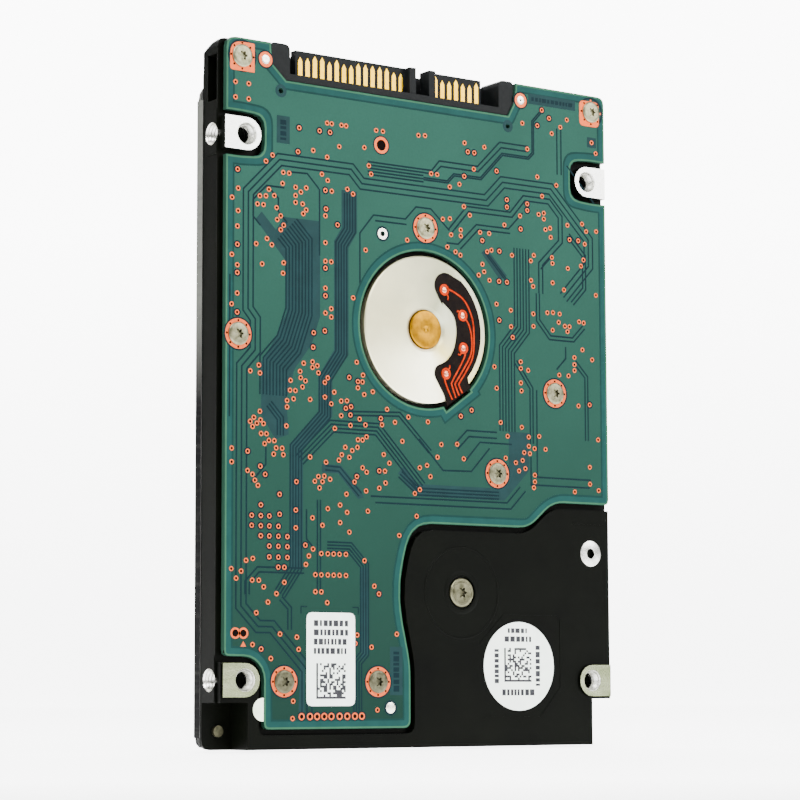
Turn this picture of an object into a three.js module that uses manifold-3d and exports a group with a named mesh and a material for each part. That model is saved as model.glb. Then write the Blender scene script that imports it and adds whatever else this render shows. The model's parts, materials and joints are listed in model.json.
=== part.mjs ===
// A 2.5 inch hard disk drive with one platter, standing on its rear end.
//
// The frame: +X is to the right when the circuit board faces the viewer, +Z runs up towards the
// connector, and -Y points out of the circuit board. Depth is counted in millimetres from the
// mounting plane (the faces of the four bosses beside the board) towards the top cover.

import * as THREE from 'three';
import { mergeVertices } from 'three/addons/utils/BufferGeometryUtils.js';
import Module from 'manifold-3d';

const wasm = await Module();
wasm.setup();

// ---------------------------------------------------------------- driving dimensions, mm

const LENGTH = 100.2;
const WIDTH = 69.85;
const THICKNESS = 7.0;

const CASE_HALF_WIDTH = 34.6;
const WALL_HALF_WIDTH = 34.85;
const CASE_END = 99.9;
const COVER_END = 95.2;

// Depths of the layers, from the mounting plane to the cover's outer face.
const BOSS_FACE = 0;
const BOARD_FACE = 0.35;
const PLATEAU_FACE = 0.4;
const FLANGE_FACE = 0.15;
const BOARD_BACK = 1.15;
const CASE_FACE = 1.45;
const WELL_FLOOR = 2.7;
const DISC_LOW = 3.7;
const DISC_HIGH = 4.5;
const SHOULDER = 5.35;
const RIM = 5.9;
const COVER_SEAT = 6.2;
const SKIRT_EDGE = 5.4;
const COVER_STEP = 6.7;
const COVER_FACE = 6.95;

// Axes of the moving groups, as [x, z].
const SPINDLE = [0.2, 60.8];
const PIVOT = [6.6, 22.4];
const LATCH = [26.4, 24];

const DISC_RADIUS = 32.5;
const DISC_BORE = 10;
const WELL_RADIUS = 33.1;
const HEAD_REACH = 34;
const PARK_ANGLE = THREE.MathUtils.degToRad(153.7);

const BOARD_HALF_WIDTH = 34.7;
const BOARD_OPENING = 11.65;
// The square notch of the motor opening: its direction in degrees, its reach and its two sides.
const NOTCH = [-54.6, 11.85, -3.77, 1.73];
const FLANGE_RADIUS = 10.9;

const MOUNT_X = 30.86;
const MOUNT_Z = [9.6, 86.2];
const SIDE_HOLE_DEPTH = 3;
const MOUNT_HOLE = 1.62;

const BOARD_SCREWS = [
  [-31.5, 97.4], [32.1, 97.4], [0.3, 75.9], [-32, 57.7],
  [24.4, 52.9], [13.3, 40.2], [-24.3, 9.4], [-8.4, 9.4],
];
const COVER_SCREWS = [
  [-32.4, 2.6], [32.4, 2.6], [-33, 33], [33, 33], [-31.9, 91.6], [31.9, 91.6],
];

// Chips on the inner side of the board: name, centre x and z, width, height, thickness.
const CHIPS = [
  ['controller_chip', -23.4, 29.6, 10, 10, 0.9],
  ['memory_chip', -21.6, 66, 7, 10, 0.85],
  ['motor_driver_chip', 20.4, 70.5, 7, 7, 0.8],
];

const POWER_PINS = 15;
const SIGNAL_PINS = 7;
const PIN_PITCH = 1.27;
const PIN_WIDTH = 0.84;
const POWER_FIRST = -20.7;
const SIGNAL_FIRST = 3.43;
const PIN_FACE = 1.95;
const TONGUE_FACE = 2;
const TONGUE_BACK = 3.23;
const TONGUE_FOOT = 95.95;

// ---------------------------------------------------------------- finishes

function finish(color, roughness, metalness) {
  return new THREE.MeshStandardMaterial({ color, roughness, metalness });
}

const FINISHES = {
  black_coat: finish(0x161616, 0.45, 0.2),
  cover_steel: finish(0x9a9c9b, 0.4, 0.9),
  solder_mask: finish(0x1f5f63, 0.4, 0),
  screw_steel: finish(0xa8a79c, 0.35, 1),
  machined_steel: finish(0xc9c7c0, 0.3, 1),
  brass: finish(0xb08a3a, 0.3, 1),
  gold_plate: finish(0xd8b258, 0.25, 1),
  black_plastic: finish(0x111212, 0.5, 0),
  chip_resin: finish(0x1b1b1d, 0.6, 0),
  insulator_foam: finish(0x2a2a2c, 0.9, 0),
  flex_film: finish(0x1a1311, 0.35, 0),
  label_paper: finish(0xe9ebec, 0.5, 0),
  gasket_rubber: finish(0x19191a, 0.8, 0),
  magnet: finish(0x8e9091, 0.3, 1),
  copper_wire: finish(0xa65a2c, 0.35, 0.9),
  disc_film: finish(0xb9bcc0, 0.05, 1),
  arm_metal: finish(0xb7b9ba, 0.35, 1),
  ramp_plastic: finish(0xd7d2c4, 0.5, 0),
  filter_fleece: finish(0xe6e4de, 0.95, 0),
  ceramic: finish(0x2f2d2c, 0.4, 0),
};

// ---------------------------------------------------------------- outlines in the x-z plane

const turn = THREE.MathUtils.degToRad;

function polar(radius, degrees, [x, z] = [0, 0]) {
  return [x + radius * Math.cos(turn(degrees)), z + radius * Math.sin(turn(degrees))];
}

function circle([x, z], radius, sides = 24) {
  return Array.from({ length: sides }, (_, i) => polar(radius, (360 * i) / sides, [x, z]));
}

function arc(centre, radius, from, to, steps) {
  return Array.from({ length: steps + 1 }, (_, i) =>
    polar(radius, from + ((to - from) * i) / steps, centre));
}

function rectangle(left, right, low, high) {
  return [[left, low], [right, low], [right, high], [left, high]];
}

// Part of a ring, between two radii and two angles in degrees.
function sector(centre, inner, outer, from, to, steps = 8) {
  return [...arc(centre, outer, from, to, steps), ...arc(centre, inner, to, from, steps)];
}

// Rounds each [x, z, radius] corner, by less than half of the shorter edge; no radius stays sharp.
function rounded(corners, steps = 3) {
  const points = [];
  corners.forEach(([x, z, radius = 0], i) => {
    if (!radius) {
      points.push([x, z]);
      return;
    }
    const here = new THREE.Vector2(x, z);
    const before = new THREE.Vector2(...corners.at(i - 1)).sub(here);
    const after = new THREE.Vector2(...corners[(i + 1) % corners.length]).sub(here);
    const reach = Math.min(radius, 0.48 * before.length(), 0.48 * after.length());
    const start = before.setLength(reach).add(here);
    const end = after.setLength(reach).add(here);
    const bend = new THREE.QuadraticBezierCurve(start, here, end);
    points.push(...bend.getPoints(steps).map((p) => [p.x, p.y]));
  });
  return points;
}

// A band of even width along a smooth curve through the given points.
function ribbon(points, width, steps) {
  const curve = new THREE.CatmullRomCurve3(points.map(([x, z]) => new THREE.Vector3(x, z, 0)));
  const sides = [[], []];
  for (let i = 0; i <= steps; i++) {
    const at = curve.getPointAt(i / steps);
    const along = curve.getTangentAt(i / steps);
    sides[0].push([at.x - (along.y * width) / 2, at.y + (along.x * width) / 2]);
    sides[1].unshift([at.x + (along.y * width) / 2, at.y - (along.x * width) / 2]);
  }
  return sides.flat();
}

// ---------------------------------------------------------------- solids

// A closed geometry as a solid, turned face out if its faces point inwards.
function solid(geometry) {
  const bare = geometry.index ? geometry.toNonIndexed() : geometry;
  bare.deleteAttribute('normal');
  bare.deleteAttribute('uv');
  const merged = mergeVertices(bare, 1e-4);
  const triVerts = Uint32Array.from(merged.index.array);
  const vertProperties = merged.attributes.position.array;
  const made = new wasm.Manifold(new wasm.Mesh({ numProp: 3, vertProperties, triVerts }));
  if (made.volume() > 0) return made;
  triVerts.reverse();
  return new wasm.Manifold(new wasm.Mesh({ numProp: 3, vertProperties, triVerts }));
}

// A flat piece with the given outline, from one depth to another.
function plate(points, near, far) {
  const shape = new THREE.Shape(points.map(([x, z]) => new THREE.Vector2(x, z)));
  const geometry = new THREE.ExtrudeGeometry(shape, { depth: far - near, bevelEnabled: false });
  geometry.rotateX(Math.PI / 2);
  geometry.translate(0, far - THICKNESS / 2, 0);
  return solid(geometry);
}

function block(left, right, low, high, near, far) {
  return plate(rectangle(left, right, low, high), near, far);
}

function cylinder(centre, radius, near, far, sides = 24) {
  return plate(circle(centre, radius, sides), near, far);
}

// A piece turned about a depth axis, from a closed profile of [radius, depth] points.
function turned(profile, [x, z], sides = 32) {
  const points = [...profile, profile[0]].map(([r, d]) => new THREE.Vector2(r, d));
  const geometry = new THREE.LatheGeometry(points, sides);
  geometry.translate(x, -THICKNESS / 2, z);
  return solid(geometry);
}

// A piece that runs along X, from an outline of [z, depth] points.
function beam(points, left, right) {
  const shape = new THREE.Shape(points.map(([z, d]) => new THREE.Vector2(z, d - THICKNESS / 2)));
  const geometry = new THREE.ExtrudeGeometry(shape, { depth: right - left, bevelEnabled: false });
  const towardsZ = new THREE.Vector3(0, 0, 1);
  const towardsY = new THREE.Vector3(0, 1, 0);
  const againstX = new THREE.Vector3(-1, 0, 0);
  geometry.applyMatrix4(new THREE.Matrix4().makeBasis(towardsZ, towardsY, againstX));
  geometry.translate(right, 0, 0);
  return solid(geometry);
}

function join(pieces) {
  return pieces.reduce((whole, piece) => whole.add(piece));
}

function cut(whole, pieces) {
  return pieces.reduce((left, piece) => left.subtract(piece), whole);
}

function mirrored(make) {
  return [make(-1), make(1)];
}

// ---------------------------------------------------------------- the assembly's groups

const drive = new THREE.Group();
const spindle = new THREE.Group();
const actuator = new THREE.Group();
const latch = new THREE.Group();
spindle.position.set(SPINDLE[0], 0, SPINDLE[1]);
actuator.position.set(PIVOT[0], 0, PIVOT[1]);
actuator.rotation.y = -PARK_ANGLE;
latch.position.set(LATCH[0], 0, LATCH[1]);
drive.add(spindle, actuator, latch);

function place(group, name, made, finishName) {
  const source = made.getMesh();
  const geometry = new THREE.BufferGeometry();
  geometry.setAttribute('position', new THREE.BufferAttribute(source.vertProperties, 3));
  geometry.setIndex(new THREE.BufferAttribute(source.triVerts, 1));
  const mesh = new THREE.Mesh(geometry, FINISHES[finishName]);
  mesh.name = name;
  group.add(mesh);
}

// ---------------------------------------------------------------- base casting

const BAY = [
  [-26.6, 3.4, 2], [26.6, 3.4, 2], [26.6, 13.8, 1], [31.6, 13.8, 1.5], [31.6, 31, 1],
  [26, 39], [0, 46], [-27, 46, 2], [-31.4, 42, 2], [-31.4, 13.8, 1.5], [-26.6, 13.8, 1],
];
const CONNECTOR_NOTCH = [-27.2, 17.7, 94.85];
const HEAD_SLOT = [-22, -10, 3.7, 8.4];
const COIL_POCKET_FLOOR = 1.3;

// How far a raised feature reaches into the body that carries it.
const ROOT = 0.1;

// The room for the disc and the actuator, grown by an offset.
function cavity(offset, near, far) {
  const middle = [0, 24];
  const grown = BAY.map(([x, z, radius]) => [
    x + Math.sign(x - middle[0]) * offset,
    z + Math.sign(z - middle[1]) * offset,
    radius,
  ]);
  const well = cylinder(SPINDLE, WELL_RADIUS + offset, near, far, 72);
  return well.add(plate(rounded(grown), near, far));
}

function caseOutline(side) {
  const [left, right, foot] = CONNECTOR_NOTCH;
  return rounded([
    [-side, 0, 1.4], [side, 0, 1.4], [side, CASE_END, 1.2], [right, CASE_END],
    [right, foot], [left, foot], [left, CASE_END], [-side, CASE_END, 1.2],
  ]);
}

// The raised land beside and below the board, a millimetre clear of the board's edge.
function plateau() {
  const land = rounded([
    [-CASE_HALF_WIDTH, 12.1], [-31.3, 12.1, 1.2], [-28.4, 9.2, 1], [-28.4, 2, 1], [-1.9, 2, 1.5],
    [-1.9, 12, 2], [-4.2, 22.5, 6], [-1.6, 31.4, 3], [19, 31.4, 2], [23.6, 35.4, 2],
    [CASE_HALF_WIDTH, 35.4], [CASE_HALF_WIDTH, 0, 1.4], [-CASE_HALF_WIDTH, 0, 1.4],
  ]);
  return plate(land, PLATEAU_FACE, CASE_FACE + ROOT);
}

// A D-shaped mounting boss at the case's edge.
function boss(side, z) {
  const centre = [side * MOUNT_X, z];
  const tip = 2.35;
  const from = side > 0 ? 90 : -90;
  const nose = arc(centre, tip, from, from + 180, 10);
  const edge = side * (CASE_HALF_WIDTH - 0.15);
  const last = nose.at(-1)[1];
  return plate([...nose, [edge, last], [edge, nose[0][1]]], BOSS_FACE, CASE_FACE + ROOT);
}

function sidePad(side, z) {
  const inner = side * (CASE_HALF_WIDTH - 0.5);
  const outer = (side * WIDTH) / 2;
  const [left, right] = side < 0 ? [outer, inner] : [inner, outer];
  return block(left, right, z - 3, z + 3.4, 1.6, 4.6);
}

// The threaded holes of one mounting corner: one down from the boss, one in from the side.
function mountHoles(side, z) {
  const down = cylinder([side * MOUNT_X, z], MOUNT_HOLE, BOSS_FACE - 1, 2.4, 16);
  const sides = 16;
  const rim = Array.from({ length: sides }, (_, i) => {
    const angle = (2 * Math.PI * i) / sides;
    return [z + MOUNT_HOLE * Math.cos(angle), SIDE_HOLE_DEPTH + MOUNT_HOLE * Math.sin(angle)];
  });
  const [left, right] = side < 0 ? [-36, -32.5] : [32.5, 36];
  return down.add(beam(rim, left, right));
}

// The cover-side room below the connector end, where only the base reaches, with its chamfer.
function endShoulder() {
  const section = [
    [COVER_END + 0.1, SHOULDER], [98.3, SHOULDER], [CASE_END + 0.2, 1.9],
    [CASE_END + 2, 1.9], [CASE_END + 2, 8], [COVER_END + 0.1, 8],
  ];
  return beam(section, -40, 40);
}

function rearCorner(side) {
  const [inner, outer, top] = side < 0 ? [-30.2, -36, 6.5] : [31.1, 36, 6.9];
  const [left, right] = side < 0 ? [outer, inner] : [inner, outer];
  return block(left, right, -1, top, BOSS_FACE - 1, 5);
}

function coilPocket() {
  return plate(sector(PIVOT, 5.6, 16.8, -102, 21, 12), COIL_POCKET_FLOOR, WELL_FLOOR + 1);
}

function boardPost(centre) {
  return cylinder(centre, 2.1, BOARD_BACK, CASE_FACE + ROOT, 16);
}

function screwPillar(centre) {
  return cylinder(centre, 1.7, CASE_FACE + ROOT, 3.9, 16);
}

function chipPocket([, x, z, wide, high]) {
  const room = 0.6;
  const half = [wide / 2 + room, high / 2 + room];
  return block(x - half[0], x + half[0], z - half[1], z + half[1], BOARD_BACK - 1, 2.2);
}

function baseCasting() {
  const corners = mirrored((side) => MOUNT_Z.map((z) => [side, z])).flat();
  const shell = join([
    plate(caseOutline(WALL_HALF_WIDTH), CASE_FACE, SKIRT_EDGE),
    plate(caseOutline(CASE_HALF_WIDTH), SKIRT_EDGE - ROOT, RIM),
    plateau(),
    ...BOARD_SCREWS.map(boardPost),
    ...corners.map(([side, z]) => boss(side, z)),
    ...corners.map(([side, z]) => sidePad(side, z)),
  ]);
  const hollow = cut(shell, [
    cavity(0, WELL_FLOOR, RIM + 1), coilPocket(), endShoulder(),
    ...CHIPS.map(chipPocket),
    ...mirrored(rearCorner),
    ...mirrored((side) => block(side * 34.6 - 1.7, side * 34.6 + 1.7, 91, 97.6, 1.75, 4.1)),
    block(...HEAD_SLOT, 0, WELL_FLOOR + 1),
  ]);
  const filled = join([hollow, ...BOARD_SCREWS.slice(-2).map(screwPillar), latchPost()]);
  return cut(filled, [
    ...corners.map(([side, z]) => mountHoles(side, z)),
    ...BOARD_SCREWS.map((centre) => cylinder(centre, 0.85, 0, 2.5, 10)),
    ...COVER_SCREWS.map((centre) => cylinder(centre, 0.75, 4.2, RIM + 1, 10)),
    cylinder(SPINDLE, FLANGE_RADIUS + 0.05, 0, 1.95, 48),
    cylinder(SPINDLE, 11.9, 1.95, WELL_FLOOR + 1, 48),
    cylinder(PIVOT, 2.4, 0, 0.75),
    cylinder(PIVOT, 0.9, 0.7, WELL_FLOOR + 1, 12),
    cylinder([31, 28.8], 0.9, 0, 1, 16),
  ]);
}

function latchPost() {
  return cylinder(LATCH, 0.6, WELL_FLOOR - 0.2, 4.9, 12);
}

// ---------------------------------------------------------------- cover, gasket and labels

function topCover() {
  const flange = rounded([
    [-34.85, 0.2, 1.5], [34.85, 0.2, 1.5], [34.85, 93.2, 1.5],
    [31.8, COVER_END, 1.5], [-31.8, COVER_END, 1.5], [-34.85, 93.2, 1.5],
  ]);
  const panel = rounded([
    [-28.6, 1.5, 1], [28.6, 1.5, 1], [34.4, 7.4, 1], [34.4, 87, 1],
    [28.6, 94.3, 1], [-28.6, 94.3, 1], [-34.4, 87, 1], [-34.4, 7.4, 1],
  ]);
  // The sheet's turned-down edges, which lap over the casting's sides.
  const skirt = mirrored((side) => {
    const across = (a, b) => [side * a, side * b].sort((p, q) => p - q);
    const [inner, outer] = [CASE_HALF_WIDTH + 0.02, CASE_HALF_WIDTH + 0.3];
    return block(...across(inner, outer), 1.7, 91.6, SKIRT_EDGE + 0.02, COVER_FACE)
      .add(block(...across(34, outer), 1.7, 91.6, COVER_SEAT, COVER_STEP))
      .add(block(...across(34, outer), 7.4, 87, COVER_SEAT, COVER_FACE));
  });
  const sheet = join([
    plate(flange, COVER_SEAT, COVER_STEP), plate(panel, COVER_STEP, COVER_FACE), ...skirt,
  ]);
  return cut(sheet, [
    cavity(-0.4, COVER_SEAT - 1, 6.45),
    ...COVER_SCREWS.map((centre) => cylinder(centre, 1.7, 6.5, 8, 24)),
    ...COVER_SCREWS.map((centre) => cylinder(centre, 0.8, 5, 8, 10)),
    cylinder([-24, 24], 0.6, 5, 8, 12),
  ]);
}

function coverGasket() {
  const low = RIM + 0.02;
  const high = COVER_SEAT - 0.02;
  return cavity(0.85, low, high).subtract(cavity(0.25, low - 1, high + 1));
}

function coverLabel() {
  const outline = rounded([[-26, 14, 2], [26, 14, 2], [26, 86, 2], [-26, 86, 2]]);
  return plate(outline, COVER_FACE, THICKNESS);
}

function boardLabel() {
  const outline = rounded([[-20.6, 6, 0.9], [-12.4, 6, 0.9], [-12.4, 19.1, 0.9], [-20.6, 19.1, 0.9]]);
  return plate(outline, BOARD_FACE - 0.08, BOARD_FACE);
}

function baseLabel() {
  return cylinder([17.1, 11.7], 6.55, PLATEAU_FACE - 0.08, PLATEAU_FACE, 40);
}

// ---------------------------------------------------------------- circuit board

// The board's edge, with a notch for each boss, the connector's cut-out along the top and the
// lower right part left out where the base's plateau stands.
function boardOutline() {
  const side = BOARD_HALF_WIDTH;
  const left = -side + 0.6;
  const low = 2.8;
  return rounded([
    [left, 89.4], [-31.6, 89.4, 0.5], [-27.7, 89.2, 2.6], [-27.7, 83.3, 2.6], [-31.6, 83, 0.5],
    [left, 83], [left, 12.9, 0.8], ...arc([-MOUNT_X, MOUNT_Z[0]], 3.25, 90, 0, 6), [-27.6, low, 0.9],
    [-2.7, low, 1.2], [-2.7, 12, 2], [-5.1, 22.5, 6], [-2.4, 32.3, 3.5], [19.2, 32.3, 2],
    [23.8, 36.3, 2], [side, 36.3, 0.9], [side, 83], [31.6, 83, 0.5], [27.8, 83.3, 2.6],
    [27.8, 89.3, 2.6], [31.6, 89.6, 0.5], [side, 89.6], [side, 100, 1.2], [17.4, 100],
    [17.2, 97.2], [15.9, 94.8], [-24.1, 94.8], [-26.5, 97], [-26.7, 100],
    [left, 100, 1.6],
  ]);
}

function circuitBoard() {
  const [turn, reach, left, right] = NOTCH;
  const notch = [[5, left], [reach, left], [reach, right], [5, right]].map(
    ([out, across]) => polar(across, turn + 90, polar(out, turn, SPINDLE)));
  return cut(plate(boardOutline(), BOARD_FACE, BOARD_BACK), [
    cylinder(SPINDLE, BOARD_OPENING, -1, 3, 48),
    plate(notch, -1, 3),
    ...BOARD_SCREWS.map((centre) => cylinder(centre, 0.95, -1, 3, 12)),
    ...[[-25, 93.2], [15.8, 93.2], [-7.4, 74.3], [-7.5, 87.4], [-32.3, 16], [-31, 16]].map(
      (centre) => cylinder(centre, 0.4, -1, 3, 10)),
  ]);
}

function boardInsulator() {
  const near = BOARD_BACK + 0.03;
  const far = CASE_FACE - 0.05;
  const sheet = rounded([
    [-33.4, 81], [-33.4, 15], [-26, 12.5, 3], [-26, 4.2, 1], [-4, 4.2, 1], [-4, 12, 2],
    [-6.4, 22.5, 6], [-3.6, 33.8, 3.5], [18.6, 33.8, 2], [23.2, 37.8, 2], [33.4, 37.8],
    [33.4, 81], [26.2, 82.5], [26.2, 91], [14, 93], [-24, 93], [-26.2, 91], [-26.2, 82.5],
  ]);
  const windows = CHIPS.map(([, x, z, wide, high]) =>
    block(x - wide / 2 - 0.3, x + wide / 2 + 0.3, z - high / 2 - 0.3, z + high / 2 + 0.3, 0, 3));
  return cut(plate(sheet, near, far), [
    cylinder(SPINDLE, 13, 0, 3, 36),
    ...BOARD_SCREWS.map((centre) => cylinder(centre, 2.4, 0, 3, 12)),
    ...windows,
    block(...HEAD_SLOT, 0, 3),
  ]);
}

function chip([, x, z, wide, high, thick]) {
  const half = [wide / 2, high / 2];
  return block(x - half[0], x + half[0], z - half[1], z + half[1], BOARD_BACK, BOARD_BACK + thick);
}

// A flat-headed screw, from the face of its head to its tip.
function screw(centre, headRadius, headFace, seat, tip, shankRadius) {
  const profile = [
    [0, headFace], [headRadius, headFace], [headRadius, seat], [shankRadius, seat],
    [shankRadius, tip], [0, tip],
  ];
  return turned(profile, centre, 12);
}

// ---------------------------------------------------------------- connector

function connectorHousing() {
  const [left, right, foot, end] = [-26.4, 17, 94.95, LENGTH];
  const [front, back, backPlate] = [0.6, 5.25, 4.75];
  const [power, signal] = [[-21.5, -0.93], [1.48, 11.9]];
  const [key, keyFace, tongueEnd] = [1.15, 0.85, 99.95];
  // Each guide wing has a slanted foot, beside the slanted corner of the board's cut-out.
  const leftWing = rounded([
    [left, 97.04], [-24.12, foot], [-23.3, foot], [-23.3, end, 0.9], [left, end, 0.5],
  ]);
  const rightWing = rounded([
    [15.85, foot], [right, 97.07], [right, end, 0.5], [14.3, end, 0.9], [14.3, foot],
  ]);
  return join([
    block(-24.1, 15.8, foot, TONGUE_FOOT, front, back),
    plate(leftWing, front, back),
    plate(rightWing, front, back),
    block(-24.5, 15.5, foot, end - 0.6, backPlate, back),
    block(...power, foot, tongueEnd, TONGUE_FACE, TONGUE_BACK),
    block(...signal, foot, tongueEnd, TONGUE_FACE, TONGUE_BACK),
    block(power[1] - key, power[1], foot, tongueEnd, keyFace, TONGUE_BACK),
    block(signal[0], signal[0] + key, foot, tongueEnd, keyFace, TONGUE_BACK),
  ]);
}

// A row of contact strips on the tongue's face, joined by a bar at the tongue's foot.
function contacts(first, count, isLong) {
  const blades = Array.from({ length: count }, (_, i) => {
    const x = first + i * PIN_PITCH;
    const tip = isLong(i) ? 99.75 : 99.3;
    return block(x - PIN_WIDTH / 2, x + PIN_WIDTH / 2, TONGUE_FOOT, tip, PIN_FACE, TONGUE_FACE);
  });
  const half = PIN_WIDTH / 2;
  const last = first + (count - 1) * PIN_PITCH;
  const bar = block(first - half, last + half, TONGUE_FOOT, TONGUE_FOOT + 0.15, PIN_FACE, TONGUE_FACE);
  return join([bar, ...blades]);
}

// Counting from the left of the row: ground and pre-charge contacts reach further out.
const LONG_POWER = [2, 3, 5, 8, 9, 10, 11, 12];
const LONG_SIGNAL = [0, 3, 6];

// ---------------------------------------------------------------- spindle motor

const STATOR_TEETH = 9;

function motorFlange() {
  return turned([
    [3.3, FLANGE_FACE], [FLANGE_RADIUS, FLANGE_FACE], [FLANGE_RADIUS, 1.9], [8.6, 1.9],
    [8.6, 1.6], [3.85, 1.6], [3.85, 3.55], [3.3, 3.55],
  ], SPINDLE, 36);
}

// The kidney-shaped printed tail that brings the windings' leads out over the flange.
function motorFlex() {
  const outline = [
    ...arc(SPINDLE, 10, -41, 50, 12),
    ...arc([3.7, 67.6], 1.92, 72, 205, 8),
    ...rounded([
      [2.9, 65.4, 0.8], [5.4, 63.4, 2], [5.9, 61, 2], [5.4, 58.3, 2], [4.1, 56.4, 1.5],
      [1.9, 55.5, 1], [1.6, 54.2, 0.6], [3.5, 51.2, 0.5], [3.9, 49.7], [8.3, 52.7], [7.8, 53.6],
    ]),
  ];
  return plate(outline, FLANGE_FACE - 0.08, FLANGE_FACE);
}

function bearingEndCap() {
  return turned([
    [0, 0.2], [0.7, 0.2], [0.9, 0.06], [2.5, 0.06], [2.7, 0.12], [3.15, 0.12], [3.15, 1.15], [0, 1.15],
  ], SPINDLE, 24);
}

function bearingSleeve() {
  return turned([[1.38, 1.2], [3.2, 1.2], [3.2, 4.15], [1.38, 4.15]], SPINDLE, 20);
}

function statorCore() {
  const [low, high, yokeOuter, toothOuter] = [2.6, 3.4, 5.1, 8.2];
  const ring = turned([[3.9, low], [yokeOuter, low], [yokeOuter, high], [3.9, high]], [0, 0], 36);
  const tooth = plate([
    [4.6, -0.5], [7.4, -0.5], [7.5, -1.7], [toothOuter, -1.5], [toothOuter, 1.5], [7.5, 1.7],
    [7.4, 0.5], [4.6, 0.5],
  ], low, high);
  const teeth = Array.from({ length: STATOR_TEETH }, (_, i) =>
    tooth.rotate([0, (360 * i) / STATOR_TEETH, 0]));
  return join([ring, ...teeth]).translate([SPINDLE[0], 0, SPINDLE[1]]);
}

// One coil round each tooth, all joined by the crossover wire over their inner ends.
function statorWinding() {
  const coil = block(5.3, 7.3, -1, 1, 2.15, 3.85).subtract(block(5, 8, -0.65, 0.65, 2.45, 3.55));
  const coils = Array.from({ length: STATOR_TEETH }, (_, i) =>
    coil.rotate([0, (360 * i) / STATOR_TEETH, 0]));
  const crossover = turned([[5.35, 3.6], [5.75, 3.6], [5.75, 3.85], [5.35, 3.85]], [0, 0], 36);
  return join([crossover, ...coils]).translate([SPINDLE[0], 0, SPINDLE[1]]);
}

const CENTRE = [0, 0];

function spindleHub() {
  return turned([
    [1.35, 4.3], [1.35, 5], [DISC_BORE - 0.1, 5], [DISC_BORE - 0.1, DISC_LOW], [11.3, DISC_LOW],
    [11.3, 2.1], [9.75, 2.1], [9.75, 4.3],
  ], CENTRE, 32);
}

function spindleShaft() {
  return turned([[0, 1.3], [1.3, 1.3], [1.3, 5], [0.95, 5], [0.95, 3.7], [0, 3.7]], CENTRE, 16);
}

function rotorMagnet() {
  return turned([[8.6, 2.15], [9.65, 2.15], [9.65, 4.2], [8.6, 4.2]], CENTRE, 32);
}

function platter() {
  return turned([
    [DISC_BORE, DISC_LOW], [DISC_RADIUS, DISC_LOW], [DISC_RADIUS, DISC_HIGH], [DISC_BORE, DISC_HIGH],
  ], CENTRE, 60);
}

function discClamp() {
  return turned([
    [1.2, 5.05], [9.9, 5.05], [10.4, 4.52], [11.6, 4.52], [11.6, 4.9], [10.8, 5], [10, 5.5], [1.2, 5.5],
  ], CENTRE, 32);
}

// ---------------------------------------------------------------- actuator

const LOWER_ARM = [2.95, 3.35];
const UPPER_ARM = [4.85, 5.25];
const SPRING_THICKNESS = 0.12;
const COIL_LAYER = [3.5, 4.4];
const COIL_RADII = [6.4, 13.2];
const COIL_HALF_ANGLE = 17;

function armPlate([near, far]) {
  const outline = rounded([[0, -5], [6, -4.2, 2], [19, -1.5, 1], [19, 1.5, 1], [6, 4.2, 2], [0, 5]]);
  const window = rounded([[8, -1.6, 0.6], [14, -0.8, 0.5], [14, 0.8, 0.5], [8, 1.6, 0.6]]);
  return plate(outline, near, far).subtract(plate(window, near - 1, far + 1));
}

// The fork that carries the coil, on the side away from the heads.
function coilFork(side) {
  const inner = 180 + side * (COIL_HALF_ANGLE + 1);
  const outer = 180 + side * (COIL_HALF_ANGLE + 4.5);
  const points = [polar(4.4, 180 + side * 44), polar(13.4, outer), polar(13.4, inner), polar(4.6, inner)];
  return plate(points, ...COIL_LAYER);
}

function actuatorArm() {
  const hub = cylinder(CENTRE, 5.3, LOWER_ARM[0], UPPER_ARM[1], 24);
  const arms = [armPlate(LOWER_ARM), armPlate(UPPER_ARM)];
  const body = join([hub, ...arms, ...mirrored(coilFork)]);
  return body.subtract(cylinder(CENTRE, 3.68, 0, 8, 24));
}

function suspension(near) {
  const outline = [
    [16.5, -1.3], [19.5, -1.3], [33, -0.55], [34.6, -0.5], [34.8, -0.2], [35.7, -0.2],
    [35.7, 0.2], [34.8, 0.2], [34.6, 0.5], [33, 0.55], [19.5, 1.3], [16.5, 1.3],
  ];
  return plate(outline, near, near + SPRING_THICKNESS);
}

function slider(near, far) {
  return block(HEAD_REACH - 0.6, HEAD_REACH + 0.6, -0.4, 0.4, near, far);
}

function voiceCoil() {
  const half = COIL_HALF_ANGLE;
  const [inner, outer] = COIL_RADII;
  const whole = plate(sector(CENTRE, inner, outer, 180 - half, 180 + half, 8), ...COIL_LAYER);
  const eye = plate(sector(CENTRE, 8.6, 11.2, 180 - half / 2, 180 + half / 2, 4), 0, 8);
  return whole.subtract(eye);
}

function pivotSleeve() {
  return turned([[2.65, 2.95], [3.6, 2.95], [3.6, 5.75], [2.65, 5.75]], CENTRE, 24);
}

function pivotBearing() {
  return turned([[1.65, 3], [2.55, 3], [2.55, 5.7], [1.65, 5.7]], PIVOT, 20);
}

function pivotShaft() {
  return turned([[0.8, WELL_FLOOR], [1.6, WELL_FLOOR], [1.6, 6.2], [0, 6.2], [0, 4.6], [0.8, 4.6]], PIVOT, 20);
}

// ---------------------------------------------------------------- voice coil magnets and stops

const YOKE_ANGLES = [-99, 18];
const MAGNET_ANGLES = [-86, -2];

function lowerYoke() {
  const sheet = plate(sector(PIVOT, 6.4, 16.4, ...YOKE_ANGLES, 12), 1.4, 2.2);
  const posts = [-94.5, 13.5].map((angle) => cylinder(polar(15, angle, PIVOT), 1, 2.1, 5.4, 12));
  return join([sheet, ...posts]);
}

function upperYoke() {
  return plate(sector(PIVOT, 6.4, 16.4, ...YOKE_ANGLES, 12), 5.4, 6.1);
}

function yokeMagnet(near, far) {
  return plate(sector(PIVOT, 7.2, 14.6, ...MAGNET_ANGLES, 10), near, far);
}

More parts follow.
